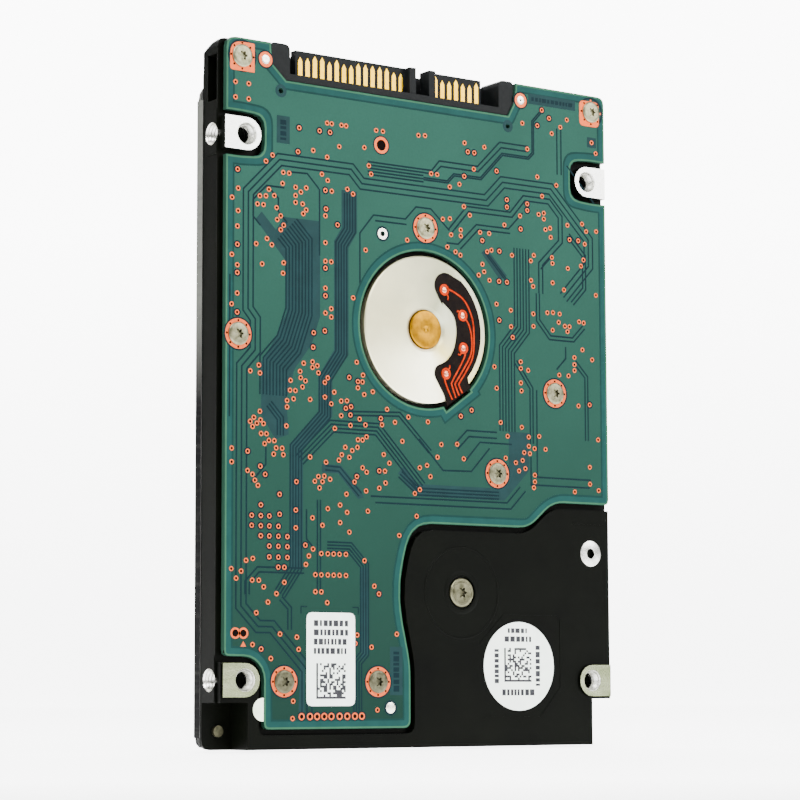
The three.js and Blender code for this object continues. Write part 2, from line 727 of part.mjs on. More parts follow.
function loadRamp() {
  const foot = plate(sector(PIVOT, 36.3, 38.8, 152.5, 160, 4), WELL_FLOOR, 5.4);
  const rails = [[3.5, 3.62], [4.58, 4.7]].map(([near, far]) =>
    plate(sector(PIVOT, 34.9, 36.5, 149, 158, 4), near, far));
  return join([foot, ...rails]);
}

// The lever's outline, from its pivot to the hook that holds the parked coil fork.
const LEVER = [[0.2, 1], [-5.2, -0.9], [-5.9, -1.5], [-5.8, -2.3], [-4.4, -2.1], [0.2, -1]];

function latchLever() {
  const ear = cylinder(CENTRE, 1.4, 3.4, 4.4, 16);
  const lever = plate(LEVER, 3.4, 4.4);
  return ear.add(lever).subtract(cylinder(CENTRE, 0.72, 0, 8, 12));
}

// ---------------------------------------------------------------- flex, filters

function headConnector() {
  const [left, right, low, high] = HEAD_SLOT;
  return block(left + 0.15, right - 0.15, low + 0.15, high - 0.15, BOARD_BACK + 0.05, 3.4);
}

function actuatorFlex() {
  const route = [[-13, 9.2], [-11.4, 12.6], [-7.6, 14.6], [-3.8, 16.2], [-0.6, 19.2]];
  return plate(ribbon(route, 0.2, 14), 3.2, 5.1);
}

function airFilter() {
  return plate([[29.6, 30.2], [30.7, 31], [26.2, 37.7], [25, 37.2]], WELL_FLOOR, 5.8);
}

function breatherFilter() {
  return cylinder([-24, 24], 3.2, 4.9, 6.4, 20);
}

// ---------------------------------------------------------------- assembly

place(drive, 'base_casting', baseCasting(), 'black_coat');
place(drive, 'top_cover', topCover(), 'cover_steel');
place(drive, 'cover_gasket', coverGasket(), 'gasket_rubber');
place(drive, 'cover_label', coverLabel(), 'label_paper');
COVER_SCREWS.forEach((centre, i) => {
  place(drive, `cover_screw_${i + 1}`, screw(centre, 1.6, 6.93, 6.5, 4.5, 0.65), 'screw_steel');
});

place(drive, 'circuit_board', circuitBoard(), 'solder_mask');
place(drive, 'board_insulator', boardInsulator(), 'insulator_foam');
CHIPS.forEach((entry) => place(drive, entry[0], chip(entry), 'chip_resin'));
BOARD_SCREWS.forEach((centre, i) => {
  place(drive, `board_screw_${i + 1}`, screw(centre, 1.5, 0.03, BOARD_FACE, 2.3, 0.75), 'screw_steel');
});
place(drive, 'board_label', boardLabel(), 'label_paper');
place(drive, 'base_label', baseLabel(), 'label_paper');

place(drive, 'connector_housing', connectorHousing(), 'black_plastic');
const powerRow = contacts(POWER_FIRST, POWER_PINS, (i) => LONG_POWER.includes(i));
const signalRow = contacts(SIGNAL_FIRST, SIGNAL_PINS, (i) => LONG_SIGNAL.includes(i));
place(drive, 'power_contacts', powerRow, 'gold_plate');
place(drive, 'signal_contacts', signalRow, 'gold_plate');

place(drive, 'motor_flange', motorFlange(), 'machined_steel');
place(drive, 'motor_flex', motorFlex(), 'flex_film');
place(drive, 'bearing_end_cap', bearingEndCap(), 'brass');
place(drive, 'bearing_sleeve', bearingSleeve(), 'brass');
place(drive, 'stator_core', statorCore(), 'magnet');
place(drive, 'stator_winding', statorWinding(), 'copper_wire');

place(spindle, 'spindle_hub', spindleHub(), 'machined_steel');
place(spindle, 'spindle_shaft', spindleShaft(), 'screw_steel');
place(spindle, 'rotor_magnet', rotorMagnet(), 'magnet');
place(spindle, 'platter', platter(), 'disc_film');
place(spindle, 'disc_clamp', discClamp(), 'machined_steel');
place(spindle, 'clamp_screw', screw(CENTRE, 2.3, 6.1, 5.5, 3.9, 0.9), 'screw_steel');

place(drive, 'pivot_screw', screw(PIVOT, 2.1, 0.2, 0.75, 4.3, 0.75), 'screw_steel');
place(drive, 'pivot_shaft', pivotShaft(), 'screw_steel');
place(drive, 'pivot_bearing', pivotBearing(), 'screw_steel');
place(actuator, 'pivot_sleeve', pivotSleeve(), 'screw_steel');
place(actuator, 'actuator_arm', actuatorArm(), 'arm_metal');
place(actuator, 'voice_coil', voiceCoil(), 'copper_wire');
place(actuator, 'lower_suspension', suspension(LOWER_ARM[1]), 'screw_steel');
place(actuator, 'upper_suspension', suspension(UPPER_ARM[0] - SPRING_THICKNESS), 'screw_steel');
place(actuator, 'lower_slider', slider(3.47, 3.65), 'ceramic');
place(actuator, 'upper_slider', slider(4.55, 4.73), 'ceramic');

place(drive, 'lower_yoke', lowerYoke(), 'magnet');
place(drive, 'upper_yoke', upperYoke(), 'magnet');
place(drive, 'lower_magnet', yokeMagnet(2.2, 3.1), 'magnet');
place(drive, 'upper_magnet', yokeMagnet(4.7, 5.4), 'magnet');
place(drive, 'load_ramp', loadRamp(), 'ramp_plastic');
place(drive, 'head_connector', headConnector(), 'black_plastic');
place(drive, 'actuator_flex', actuatorFlex(), 'flex_film');
place(drive, 'air_filter', airFilter(), 'filter_fleece');
place(drive, 'breather_filter', breatherFilter(), 'filter_fleece');
place(latch, 'actuator_latch', latchLever(), 'ramp_plastic');

export default drive;
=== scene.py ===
"""Dresses the hard disk drive: finishes for its parts, the board's copper pattern, screws, labels,
the motor's face and the connector's contacts, around the frame that holds every part in place."""
import json
import math
import random

import bpy
from bpy.props import (BoolProperty, FloatProperty, FloatVectorProperty, IntProperty,
                       PointerProperty)
from mathutils import Matrix, Vector


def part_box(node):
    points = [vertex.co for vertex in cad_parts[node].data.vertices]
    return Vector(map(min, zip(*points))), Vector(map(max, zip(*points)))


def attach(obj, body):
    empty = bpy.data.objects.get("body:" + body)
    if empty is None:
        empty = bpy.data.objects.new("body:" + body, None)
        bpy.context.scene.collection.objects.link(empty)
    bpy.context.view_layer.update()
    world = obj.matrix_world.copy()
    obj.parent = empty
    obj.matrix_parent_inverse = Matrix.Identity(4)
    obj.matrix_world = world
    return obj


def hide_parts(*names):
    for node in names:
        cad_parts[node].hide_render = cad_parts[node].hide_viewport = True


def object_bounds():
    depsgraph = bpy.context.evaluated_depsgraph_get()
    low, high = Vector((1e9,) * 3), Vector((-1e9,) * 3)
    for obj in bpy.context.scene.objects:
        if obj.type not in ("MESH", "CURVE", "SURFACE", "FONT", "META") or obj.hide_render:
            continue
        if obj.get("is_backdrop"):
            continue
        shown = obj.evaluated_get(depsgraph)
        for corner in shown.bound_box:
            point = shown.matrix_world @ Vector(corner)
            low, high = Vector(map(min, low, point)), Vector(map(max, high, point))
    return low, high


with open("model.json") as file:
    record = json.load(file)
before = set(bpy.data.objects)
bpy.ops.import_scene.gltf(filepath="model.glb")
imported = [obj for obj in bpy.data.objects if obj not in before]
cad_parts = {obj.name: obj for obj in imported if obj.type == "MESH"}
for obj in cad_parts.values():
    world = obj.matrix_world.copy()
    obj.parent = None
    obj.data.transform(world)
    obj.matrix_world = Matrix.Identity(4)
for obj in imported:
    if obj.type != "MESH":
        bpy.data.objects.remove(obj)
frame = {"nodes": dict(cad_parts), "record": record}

bl_info = {
    "name": "Hard disk drive",
    "version": (1, 0, 0),
    "blender": (4, 5, 0),
    "location": "3D View > Sidebar > Disk drive",
    "description": "Builds the finished surfaces of a slim hard disk drive around its frame",
    "category": "Add Mesh",
}

MM = 0.001
CAD_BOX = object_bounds()

# Places are (x, z) in millimetres, and depth runs from the mounting plane to the cover.
HALF_DEPTH = -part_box("base_casting")[0][1] / MM


def node_depths(node):
    """The nearest and farthest depth of a node, in millimetres from the mounting plane."""
    low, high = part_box(node)
    return low[1] / MM + HALF_DEPTH, high[1] / MM + HALF_DEPTH


def node_centre(node):
    """The middle of a node in the plane of the board, in millimetres."""
    low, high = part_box(node)
    return (low[0] + high[0]) / 2 / MM, (low[2] + high[2]) / 2 / MM


BOARD_FACE = node_depths("circuit_board")[0]
SPINDLE = node_centre("motor_flange")
PIVOT = node_centre("pivot_screw")
BOARD_SCREWS = [node_centre(f"board_screw_{i}") for i in range(1, 9)]
COVER_SCREWS = [node_centre(f"cover_screw_{i}") for i in range(1, 7)]

# How far layers stand out of the face that they lie on, in millimetres.
HAIR = 0.004         # the step from one layer of lines to the next
VIA_RISE = 0.03
PAD_RISE = 0.034
PRINT_RISE = 0.01    # print on a label


# ------------------------------------------------------------------ outlines in the board's plane

def polar(radius, degrees, centre=(0, 0)):
    angle = math.radians(degrees)
    return centre[0] + radius * math.cos(angle), centre[1] + radius * math.sin(angle)


def circle(centre, radius, sides=24):
    return [polar(radius, 360 * i / sides, centre) for i in range(sides)]


def arc(centre, radius, start, stop, steps):
    return [polar(radius, start + (stop - start) * i / steps, centre) for i in range(steps + 1)]


def rectangle(left, right, low, high):
    return [(left, low), (right, low), (right, high), (left, high)]


def rounded(corners, steps=5):
    """An outline through (x, z, radius) corners; a corner without a radius stays sharp."""
    points = []
    for i, corner in enumerate(corners):
        here = Vector(corner[:2])
        if len(corner) < 3 or not corner[2]:
            points.append(tuple(here))
            continue
        before = Vector(corners[i - 1][:2]) - here
        after = Vector(corners[(i + 1) % len(corners)][:2]) - here
        reach = min(corner[2], 0.48 * before.length, 0.48 * after.length)
        start = here + before.normalized() * reach
        stop = here + after.normalized() * reach
        for step in range(steps + 1):
            t = step / steps
            points.append(tuple(start * (1 - t) ** 2 + here * 2 * t * (1 - t) + stop * t * t))
    return points


def box_outline(centre, width, height, radius):
    x, z = centre
    return rounded([(px, pz, radius) for px, pz in
                    rectangle(x - width / 2, x + width / 2, z - height / 2, z + height / 2)])


def shifted(path, shift):
    """A path parallel to the given one, with its corners mitred."""
    moved = []
    for i, point in enumerate(path):
        sides = []
        for first, last in ((i - 1, i), (i, i + 1)):
            if first >= 0 and last < len(path):
                along = Vector(path[last]) - Vector(path[first])
                sides.append(Vector((-along.y, along.x)).normalized())
        normal = sides[0] if len(sides) == 1 else (sides[0] + sides[1]) / (1 + sides[0] @ sides[1])
        moved.append(tuple(Vector(point) + normal * shift))
    return moved


def strip(path, width):
    """The outline of a track of even width along a path."""
    return shifted(path, width / 2) + shifted(path, -width / 2)[::-1]


def lanes(path, count, pitch, width):
    """Parallel tracks on both sides of a path."""
    return [strip(shifted(path, (i - (count - 1) / 2) * pitch), width) for i in range(count)]


def curved(points, per_span=6):
    """A smooth path through the points."""
    path = []
    padded = [points[0], *points, points[-1]]
    for a, b, c, d in zip(padded, padded[1:], padded[2:], padded[3:]):
        a, b, c, d = Vector(a), Vector(b), Vector(c), Vector(d)
        for step in range(per_span):
            t = step / per_span
            path.append(tuple(0.5 * (2 * b + (c - a) * t + (2 * a - 5 * b + 4 * c - d) * t ** 2
                                     + (3 * b - a - 3 * c + d) * t ** 3)))
    return path + [tuple(points[-1])]


# ------------------------------------------------------------------ mesh making

def only(*objects):
    """Selects these objects and nothing else, and makes the first one active."""
    bpy.ops.object.select_all(action="DESELECT")
    for obj in objects:
        obj.select_set(True)
    bpy.context.view_layer.objects.active = objects[0]


def edit(obj):
    only(obj)
    bpy.ops.object.mode_set(mode="EDIT")
    bpy.ops.mesh.select_all(action="SELECT")


def leave():
    bpy.ops.object.mode_set(mode="OBJECT")


def settle(obj):
    """Moves the object's place into its mesh, so that the object sits at the origin."""
    only(obj)
    bpy.ops.object.transform_apply(location=True, rotation=True, scale=True)
    return obj


def close_up(obj, threshold=1e-7):
    """Merges double points and turns the faces outwards."""
    edit(obj)
    bpy.ops.mesh.remove_doubles(threshold=threshold)
    bpy.ops.mesh.normals_make_consistent(inside=False)
    leave()
    return obj


def modify(obj, kind, **settings):
    """Adds a modifier with these settings and applies it."""
    only(obj)
    modifier = obj.modifiers.new(kind.lower(), kind)
    for key, value in settings.items():
        setattr(modifier, key, value)
    bpy.ops.object.modifier_apply(modifier=modifier.name)
    return obj


def smooth(obj, degrees=35):
    only(obj)
    bpy.ops.object.shade_smooth_by_angle(angle=math.radians(degrees))
    return obj


def joined(name, objects):
    only(*objects)
    bpy.ops.object.join()
    objects[0].name = name
    return objects[0]


def flat(name, outlines, near, far):
    """A flat piece between two depths; an outline inside another one cuts a hole."""
    curve = bpy.data.curves.new(name, "CURVE")
    curve.dimensions = "2D"
    curve.fill_mode = "BOTH"
    curve.extrude = (far - near) / 2
    for outline in outlines:
        spline = curve.splines.new("POLY")
        spline.points.add(len(outline) - 1)
        spline.use_cyclic_u = True
        for point, (x, z) in zip(spline.points, outline):
            point.co = (x, z, 0, 1)
    obj = bpy.data.objects.new(name, curve)
    bpy.context.scene.collection.objects.link(obj)
    obj.rotation_euler.x = math.pi / 2
    obj.scale = (MM, MM, MM)
    obj.location.y = ((near + far) / 2 - HALF_DEPTH) * MM
    only(obj)
    bpy.ops.object.convert(target="MESH")
    return close_up(settle(bpy.context.object))


def turned(name, profile, centre, steps=64):
    """A piece turned about a depth axis, from a profile of (radius, depth) points."""
    bpy.ops.object.select_all(action="DESELECT")
    bpy.ops.mesh.primitive_circle_add(vertices=len(profile), radius=MM, fill_type="NOTHING")
    obj = bpy.context.object
    obj.name = name
    for vertex, (radius, depth) in zip(obj.data.vertices, profile):
        vertex.co = ((centre[0] + radius) * MM, (depth - HALF_DEPTH) * MM, centre[1] * MM)
    settle(obj)
    on_axis = [i for i, (radius, _) in enumerate(profile) if radius == 0]
    if on_axis:
        for edge in obj.data.edges:
            edge.select = set(edge.vertices) == set(on_axis)
        for vertex in obj.data.vertices:
            vertex.select = False
        bpy.context.tool_settings.mesh_select_mode = (False, True, False)
        bpy.ops.object.mode_set(mode="EDIT")
        bpy.ops.mesh.delete(type="EDGE")
        leave()
    edit(obj)
    middle = Vector((centre[0], 0, centre[1])) * MM
    bpy.ops.mesh.spin(steps=steps, angle=math.tau, center=middle, axis=(0, 1, 0))
    leave()
    return close_up(obj, 1e-6)


def placed(name, pattern, x, z):
    """A copy of a piece with its own mesh, set down in the board's plane."""
    obj = bpy.data.objects.new(name, pattern.data.copy())
    bpy.context.scene.collection.objects.link(obj)
    obj.location = (x * MM, 0, z * MM)
    return obj


def copied(name, pattern, x, z):
    """One copy of a piece, with its place in its mesh."""
    return settle(placed(name, pattern, x, z))


def repeated(name, pattern, places):
    """Copies of a small pattern at (x, z) places, as one piece; the pattern itself goes."""
    copies = [placed(name, pattern, x, z) for x, z in places]
    bpy.data.objects.remove(pattern)
    return settle(joined(name, copies))


def cut_by(obj, cutter):
    """Takes the cutter's shape away from the piece."""
    modify(obj, "BOOLEAN", operation="DIFFERENCE", object=cutter, solver="EXACT")
    bpy.data.objects.remove(cutter)
    return obj


def finish_piece(obj, slot, finish=None, body="housing", replaces=()):
    """Gives a piece a finish (the slot's own if none is named) and a body, and hides the parts that it
    replaces.
    """
    obj.data.materials.clear()
    obj.data.materials.append(finish_for(finish or slot))
    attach(obj, body)
    if replaces:
        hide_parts(*replaces)


# ------------------------------------------------------------------ shader maths

class Value:
    """A shader socket that can be used in sums."""

    def __init__(self, finish, socket):
        self.finish = finish
        self.socket = socket

    def maths(self, operation, *others):
        return self.finish.node("ShaderNodeMath", {"operation": operation},
                                {i: value for i, value in enumerate(others)})

    def __add__(self, other):
        return self.maths("ADD", self, other)

    def __sub__(self, other):
        return self.maths("SUBTRACT", self, other)

    def __rsub__(self, other):
        return self.maths("SUBTRACT", other, self)

    def __mul__(self, other):
        return self.maths("MULTIPLY", self, other)

    def __lt__(self, other):
        return self.maths("LESS_THAN", self, other)

    def __gt__(self, other):
        return self.maths("GREATER_THAN", self, other)

    __radd__ = __add__
    __rmul__ = __mul__

    def steps(self, low, high):
        """0 below low, 1 above high, and even in between."""
        return self.finish.node("ShaderNodeMapRange", {"clamp": True},
                                {"Value": self, "From Min": low, "From Max": high})


class Finish:
    """A material under construction, with its Principled shader."""

    def __init__(self, name, **constants):
        self.material = bpy.data.materials.new(name)
        self.material.use_nodes = True
        self.tree = self.material.node_tree
        self.shader = self.tree.nodes["Principled BSDF"]
        self.set(**constants)

    def set(self, **values):
        """Sets sockets of the shader, such as base_color or coat_weight."""
        for key, value in values.items():
            self.feed(self.shader.inputs[key.replace("_", " ").title().replace("Ior", "IOR")], value)
        return self

    def feed(self, socket, value):
        if isinstance(value, Value):
            self.tree.links.new(value.socket, socket)
        elif socket.type == "RGBA" and len(value) == 3:
            socket.default_value = (*value, 1)
        else:
            socket.default_value = value

    def node(self, kind, settings, values, out=0):
        """Adds a node: its settings first, then what goes into its sockets."""
        node = self.tree.nodes.new(kind)
        for key, value in settings.items():
            if key == "stops":
                ramp = node.color_ramp
                while len(ramp.elements) < len(value):
                    ramp.elements.new(1)
                for element, (position, colour) in zip(ramp.elements, value):
                    element.position = position
                    element.color = (*colour, 1)
            else:
                setattr(node, key, value)
        for key, value in values.items():
            self.feed(node.inputs[key], value)
        return Value(self, node.outputs[out])

    def place(self, stretch=(1, 1, 1), centre=(0, 0, 0)):
        """The surface point in millimetres, measured from a centre and stretched."""
        point = self.node("ShaderNodeTexCoord", {}, {}, out="Object")
        return self.node("ShaderNodeMapping", {"vector_type": "POINT"}, {
            "Vector": point,
            "Location": tuple(-c * s for c, s in zip(centre, stretch)),
            "Scale": tuple(s / MM for s in stretch),
        })

    def axis(self, name, vector):
        return self.node("ShaderNodeSeparateXYZ", {}, {"Vector": vector}, out=name)

    def height(self):
        """Millimetres above the end the drive stands on."""
        return self.axis("Z", self.place())

    def noise(self, scale, detail=3.0, stretch=(1, 1, 1), vector=None, roughness=0.5):
        """Even noise from 0 to 1; scale counts its features per millimetre."""
        return self.node("ShaderNodeTexNoise", {}, {
            "Vector": vector or self.place(stretch), "Scale": scale, "Detail": detail,
            "Roughness": roughness})

    def cells(self, scale, out="Distance", stretch=(1, 1, 1)):
        return self.node("ShaderNodeTexVoronoi", {}, {
            "Vector": self.place(stretch), "Scale": scale}, out=out)

    def ramp(self, value, stops):
        return self.node("ShaderNodeValToRGB", {"stops": stops}, {"Fac": value})

    def mix(self, factor, first, second):
        """A blend of two colours."""
        return self.node("ShaderNodeMix", {"data_type": "RGBA"}, {
            "Factor": factor, 6: first, 7: second}, out=2)

    def bump(self, height, distance, strength=1.0):
        """Feeds a height in millimetres of the given size into the shader's normal."""
        normal = self.node("ShaderNodeBump", {}, {
            "Height": height, "Distance": distance * MM, "Strength": strength})
        return self.set(normal=normal)

    def facing(self, name):
        """The size of the surface direction's part along an axis."""
        normal = self.node("ShaderNodeNewGeometry", {}, {}, out="Normal")
        part = self.axis(name, normal)
        return part.maths("ABSOLUTE", part)


# ------------------------------------------------------------------ finishes

def tinted(colour, factor):
    """A colour made darker or lighter."""
    return tuple(part * factor for part in colour)


def mottled(name, dark, light, grain, rough, relief=(8.0, 0.01), stretch=(1, 1, 1), **constants):
    """A finish whose colour and roughness drift over the surface, with a fine relief."""
    finish = Finish(name, **constants)
    patches = finish.noise(grain, stretch=stretch)
    finish.set(base_color=finish.mix(patches.steps(0.3, 0.7), dark, light),
               roughness=rough[0] + (rough[1] - rough[0]) * patches)
    return finish.bump(finish.noise(relief[0], stretch=stretch), relief[1])


def black_coat(bare_faces=False):
    """Thin black coat on a casting, with its mounting faces cut back to bare metal; the bare metal is
    painted darker and greener towards the end the drive stands on, as painted shade.
    """
    finish = Finish("black coat with bare faces" if bare_faces else "black coat",
                    specular_ior_level=0.03)
    speckle = finish.noise(9, detail=2)
    drift = finish.noise(0.12, detail=4)
    coat = finish.mix(drift.steps(0.3, 0.75), (0.0005, 0.0007, 0.0004), (0.0013, 0.0017, 0.0009))
    coat = finish.mix(speckle.steps(0.62, 0.8) * 0.5, coat, (0.006, 0.006, 0.004))
    rough = 0.34 + 0.16 * finish.noise(2.2)
    finish.bump(finish.noise(11, detail=2), 0.012)
    if bare_faces:
        depth = finish.axis("Y", finish.place()) + HALF_DEPTH
        bare = (depth < 0.04) * (finish.facing("Y") > 0.7)
        cut = finish.noise(3, stretch=(0.25, 1, 3))
        metal = finish.mix(cut, (0.66, 0.66, 0.62), (0.92, 0.92, 0.90))
        # Painted shade: low down the bare metal takes a darker, greener colour, and high up the bright
        # cut metal.
        low_shaded_metal = finish.mix(finish.noise(0.4, stretch=(0.3, 1, 1)).steps(0.35, 0.65),
                          (0.15, 0.175, 0.09), (0.27, 0.29, 0.19))
        metal = finish.mix(finish.height().steps(20, 70), low_shaded_metal, metal)
        finish.set(base_color=finish.mix(bare, coat, metal), metallic=bare * 0.85,
                   roughness=rough + bare * (0.08 * cut - 0.2))
        return finish
    return finish.set(base_color=coat, roughness=rough)


def solder_mask():
    """Glossy teal mask over the copper, painted darker towards the end the drive stands on as painted
    shade, and the dark laminate at the board's edge.
    """
    teal = bpy.context.scene.drive_board.mask_colour
    finish = Finish("solder mask and laminate", specular_ior_level=0.03)
    shade = finish.noise(0.05, detail=3)
    weave = finish.noise(3.2, detail=2)
    mask = finish.mix(shade.steps(0.3, 0.75), teal, tinted(teal, 1.22))
    mask = finish.mix(weave.steps(0.35, 0.8) * 0.3, mask, tinted(teal, 0.8))
    # Painted shade: the mask is painted darker towards the end the drive stands on.
    mask = finish.mix(finish.height().steps(0, 85), tinted(teal, 0.4), mask)
    finish.bump(weave, 0.006)
    mask = finish.mix(finish.facing("Y") > 0.5, (0.010, 0.030, 0.020), mask)
    return finish.set(base_color=mask, roughness=0.36 + 0.1 * weave)


def printed_board(name, colour):
    """A part of the board with a colour of its own, seen through the mask."""
    finish = Finish(name, specular_ior_level=0.03)
    shade = finish.noise(0.5, detail=3)
    finish.set(base_color=finish.mix(shade, tinted(colour, 0.8), tinted(colour, 1.25)),
               roughness=0.36 + 0.1 * finish.noise(4))
    return finish.bump(finish.noise(4, detail=2), 0.004)


def screw_steel():
    """Plated steel of the screws, painted darker towards the end the drive stands on, as painted
    shade.
    """
    finish = Finish("screw steel", metallic=0.9)
    patches = finish.noise(1.4)
    # Painted shade: lower screws take the darker colours, higher ones the lighter.
    shaded_low = finish.mix(patches.steps(0.3, 0.7), (0.034, 0.033, 0.018), (0.10, 0.097, 0.058))
    lit_high = finish.mix(patches.steps(0.3, 0.7), (0.12, 0.115, 0.062), (0.27, 0.26, 0.17))
    finish.set(base_color=finish.mix(finish.height().steps(10, 80), shaded_low, lit_high),
               roughness=0.28 + 0.16 * patches)
    return finish.bump(finish.noise(6), 0.008)


def copper_mask():
    copper = bpy.context.scene.drive_board.copper_colour
    return mottled("finished copper", tinted(copper, 0.86), copper, 1.6, (0.3, 0.46), (5, 0.006),
                   metallic=0.5, specular_ior_level=0.05)


def label_ink():
    ink = bpy.context.scene.drive_labels.ink
    return mottled("label ink", ink, tinted(ink, 2), 2, (0.5, 0.65), specular_ior_level=0.1)


def cover_steel():
    """Stamped cover sheet, matt and cloudy, with the grain of the rolled strip; its sides are painted
    without metal, lighter higher up as painted reflection and near black lower down as painted shade.
    """
    finish = Finish("cover steel", specular_ior_level=0.02)
    clouds = finish.noise(0.35, detail=5)
    grain = finish.noise(1.2, detail=4, stretch=(9, 1, 0.35))
    metal = finish.mix(clouds.steps(0.3, 0.7), (0.13, 0.13, 0.128), (0.27, 0.27, 0.265))
    metal = finish.mix(grain * 0.35, metal, (0.42, 0.42, 0.41))
    streaks = finish.noise(0.5, detail=4, stretch=(0.3, 0.3, 5))
    # Painted reflection and shade on the sides: near black low down, lighter grey higher up, with
    # random streaks.
    side_painted_light = finish.mix(finish.height().steps(48, 62), (0.001, 0.001, 0.0012), (0.08, 0.083, 0.074))
    side_painted_light = finish.mix(streaks.steps(0.5, 0.8) * 0.5, side_painted_light, (0.03, 0.03, 0.028))
    edge_on = finish.facing("X") > 0.7
    finish.set(base_color=finish.mix(edge_on, metal, side_painted_light), metallic=0.85 - 0.85 * edge_on,
               roughness=0.34 + 0.22 * clouds)
    return finish.bump(grain, 0.006)


def faced_metal():
    """Metal faced on a lathe: fine turning marks, and soft sweeps of light and dark about the spindle
    painted in as the face's reflection.
    """
    finish = Finish("faced metal", metallic=0.92)
    about = finish.place(centre=(SPINDLE[0], 0, SPINDLE[1]))
    x, z = finish.axis("X", about), finish.axis("Z", about)
    turned_to = finish.node("ShaderNodeCombineXYZ", {}, {"X": x, "Y": z})
    angle = finish.node("ShaderNodeTexGradient", {"gradient_type": "RADIAL"},
                        {"Vector": turned_to}, out="Fac")
    swirl = finish.noise(0.35, detail=2)
    # Painted reflection: bright, yellowish and dark colours set by the angle about the spindle stand
    # in for the reflections of the turned face.
    painted_fan_reflection = finish.ramp(angle + 0.10 * (swirl - 0.5), [
        (0.0, (0.60, 0.56, 0.33)), (0.14, (0.80, 0.77, 0.52)), (0.27, (0.92, 0.90, 0.68)),
        (0.36, (0.66, 0.54, 0.17)), (0.44, (0.62, 0.56, 0.28)), (0.58, (0.52, 0.54, 0.38)),
        (0.68, (0.20, 0.21, 0.12)), (0.78, (0.30, 0.29, 0.18)), (1.0, (0.60, 0.56, 0.33))])
    marks = finish.node("ShaderNodeTexWave", {"wave_type": "RINGS", "rings_direction": "Y"}, {
        "Vector": about, "Scale": 2.6, "Distortion": 1.2, "Detail": 2.0})
    lines = finish.noise(7, detail=2)
    finish.set(base_color=finish.mix(marks * 0.18, painted_fan_reflection, (0.94, 0.92, 0.72)),
               roughness=0.30 + 0.12 * lines + 0.06 * marks)
    return finish.bump(marks * 0.7 + lines * 0.3, 0.012)


def disc_film():
    finish = Finish("disc film", metallic=1.0)
    haze = finish.noise(0.2, detail=2)
    finish.set(base_color=finish.mix(haze, (0.78, 0.79, 0.81), (0.88, 0.88, 0.89)),
               roughness=0.04 + 0.03 * haze)
    return finish.bump(finish.noise(0.4), 0.001)


def wound_wire():
    """Fine enamelled turns lying side by side."""
    finish = Finish("wound wire", metallic=0.85, coat_weight=0.5)
    turns = finish.node("ShaderNodeTexWave", {"wave_type": "BANDS", "bands_direction": "DIAGONAL"},
                        {"Vector": finish.place(), "Scale": 3.0, "Distortion": 0.6})
    finish.set(base_color=finish.mix(turns, (0.30, 0.09, 0.03), (0.75, 0.33, 0.14)),
               roughness=0.3 + 0.1 * turns)
    return finish.bump(turns, 0.03)


def fleece():
    finish = Finish("filter fleece", sheen_weight=0.4)
    fibres = finish.noise(4, detail=5, stretch=(1, 1, 2))
    pores = finish.cells(6)
    finish.set(base_color=finish.mix(fibres, (0.62, 0.60, 0.55), (0.88, 0.87, 0.83)),
               roughness=0.85 + 0.1 * fibres)
    return finish.bump(fibres + pores * 0.4, 0.06)


def board_tint(name, setting, factor=1):
    """A maker of a board area's finish, in a colour from the board's settings."""
    return lambda: printed_board(name, tinted(getattr(bpy.context.scene.drive_board, setting),
                                              factor))


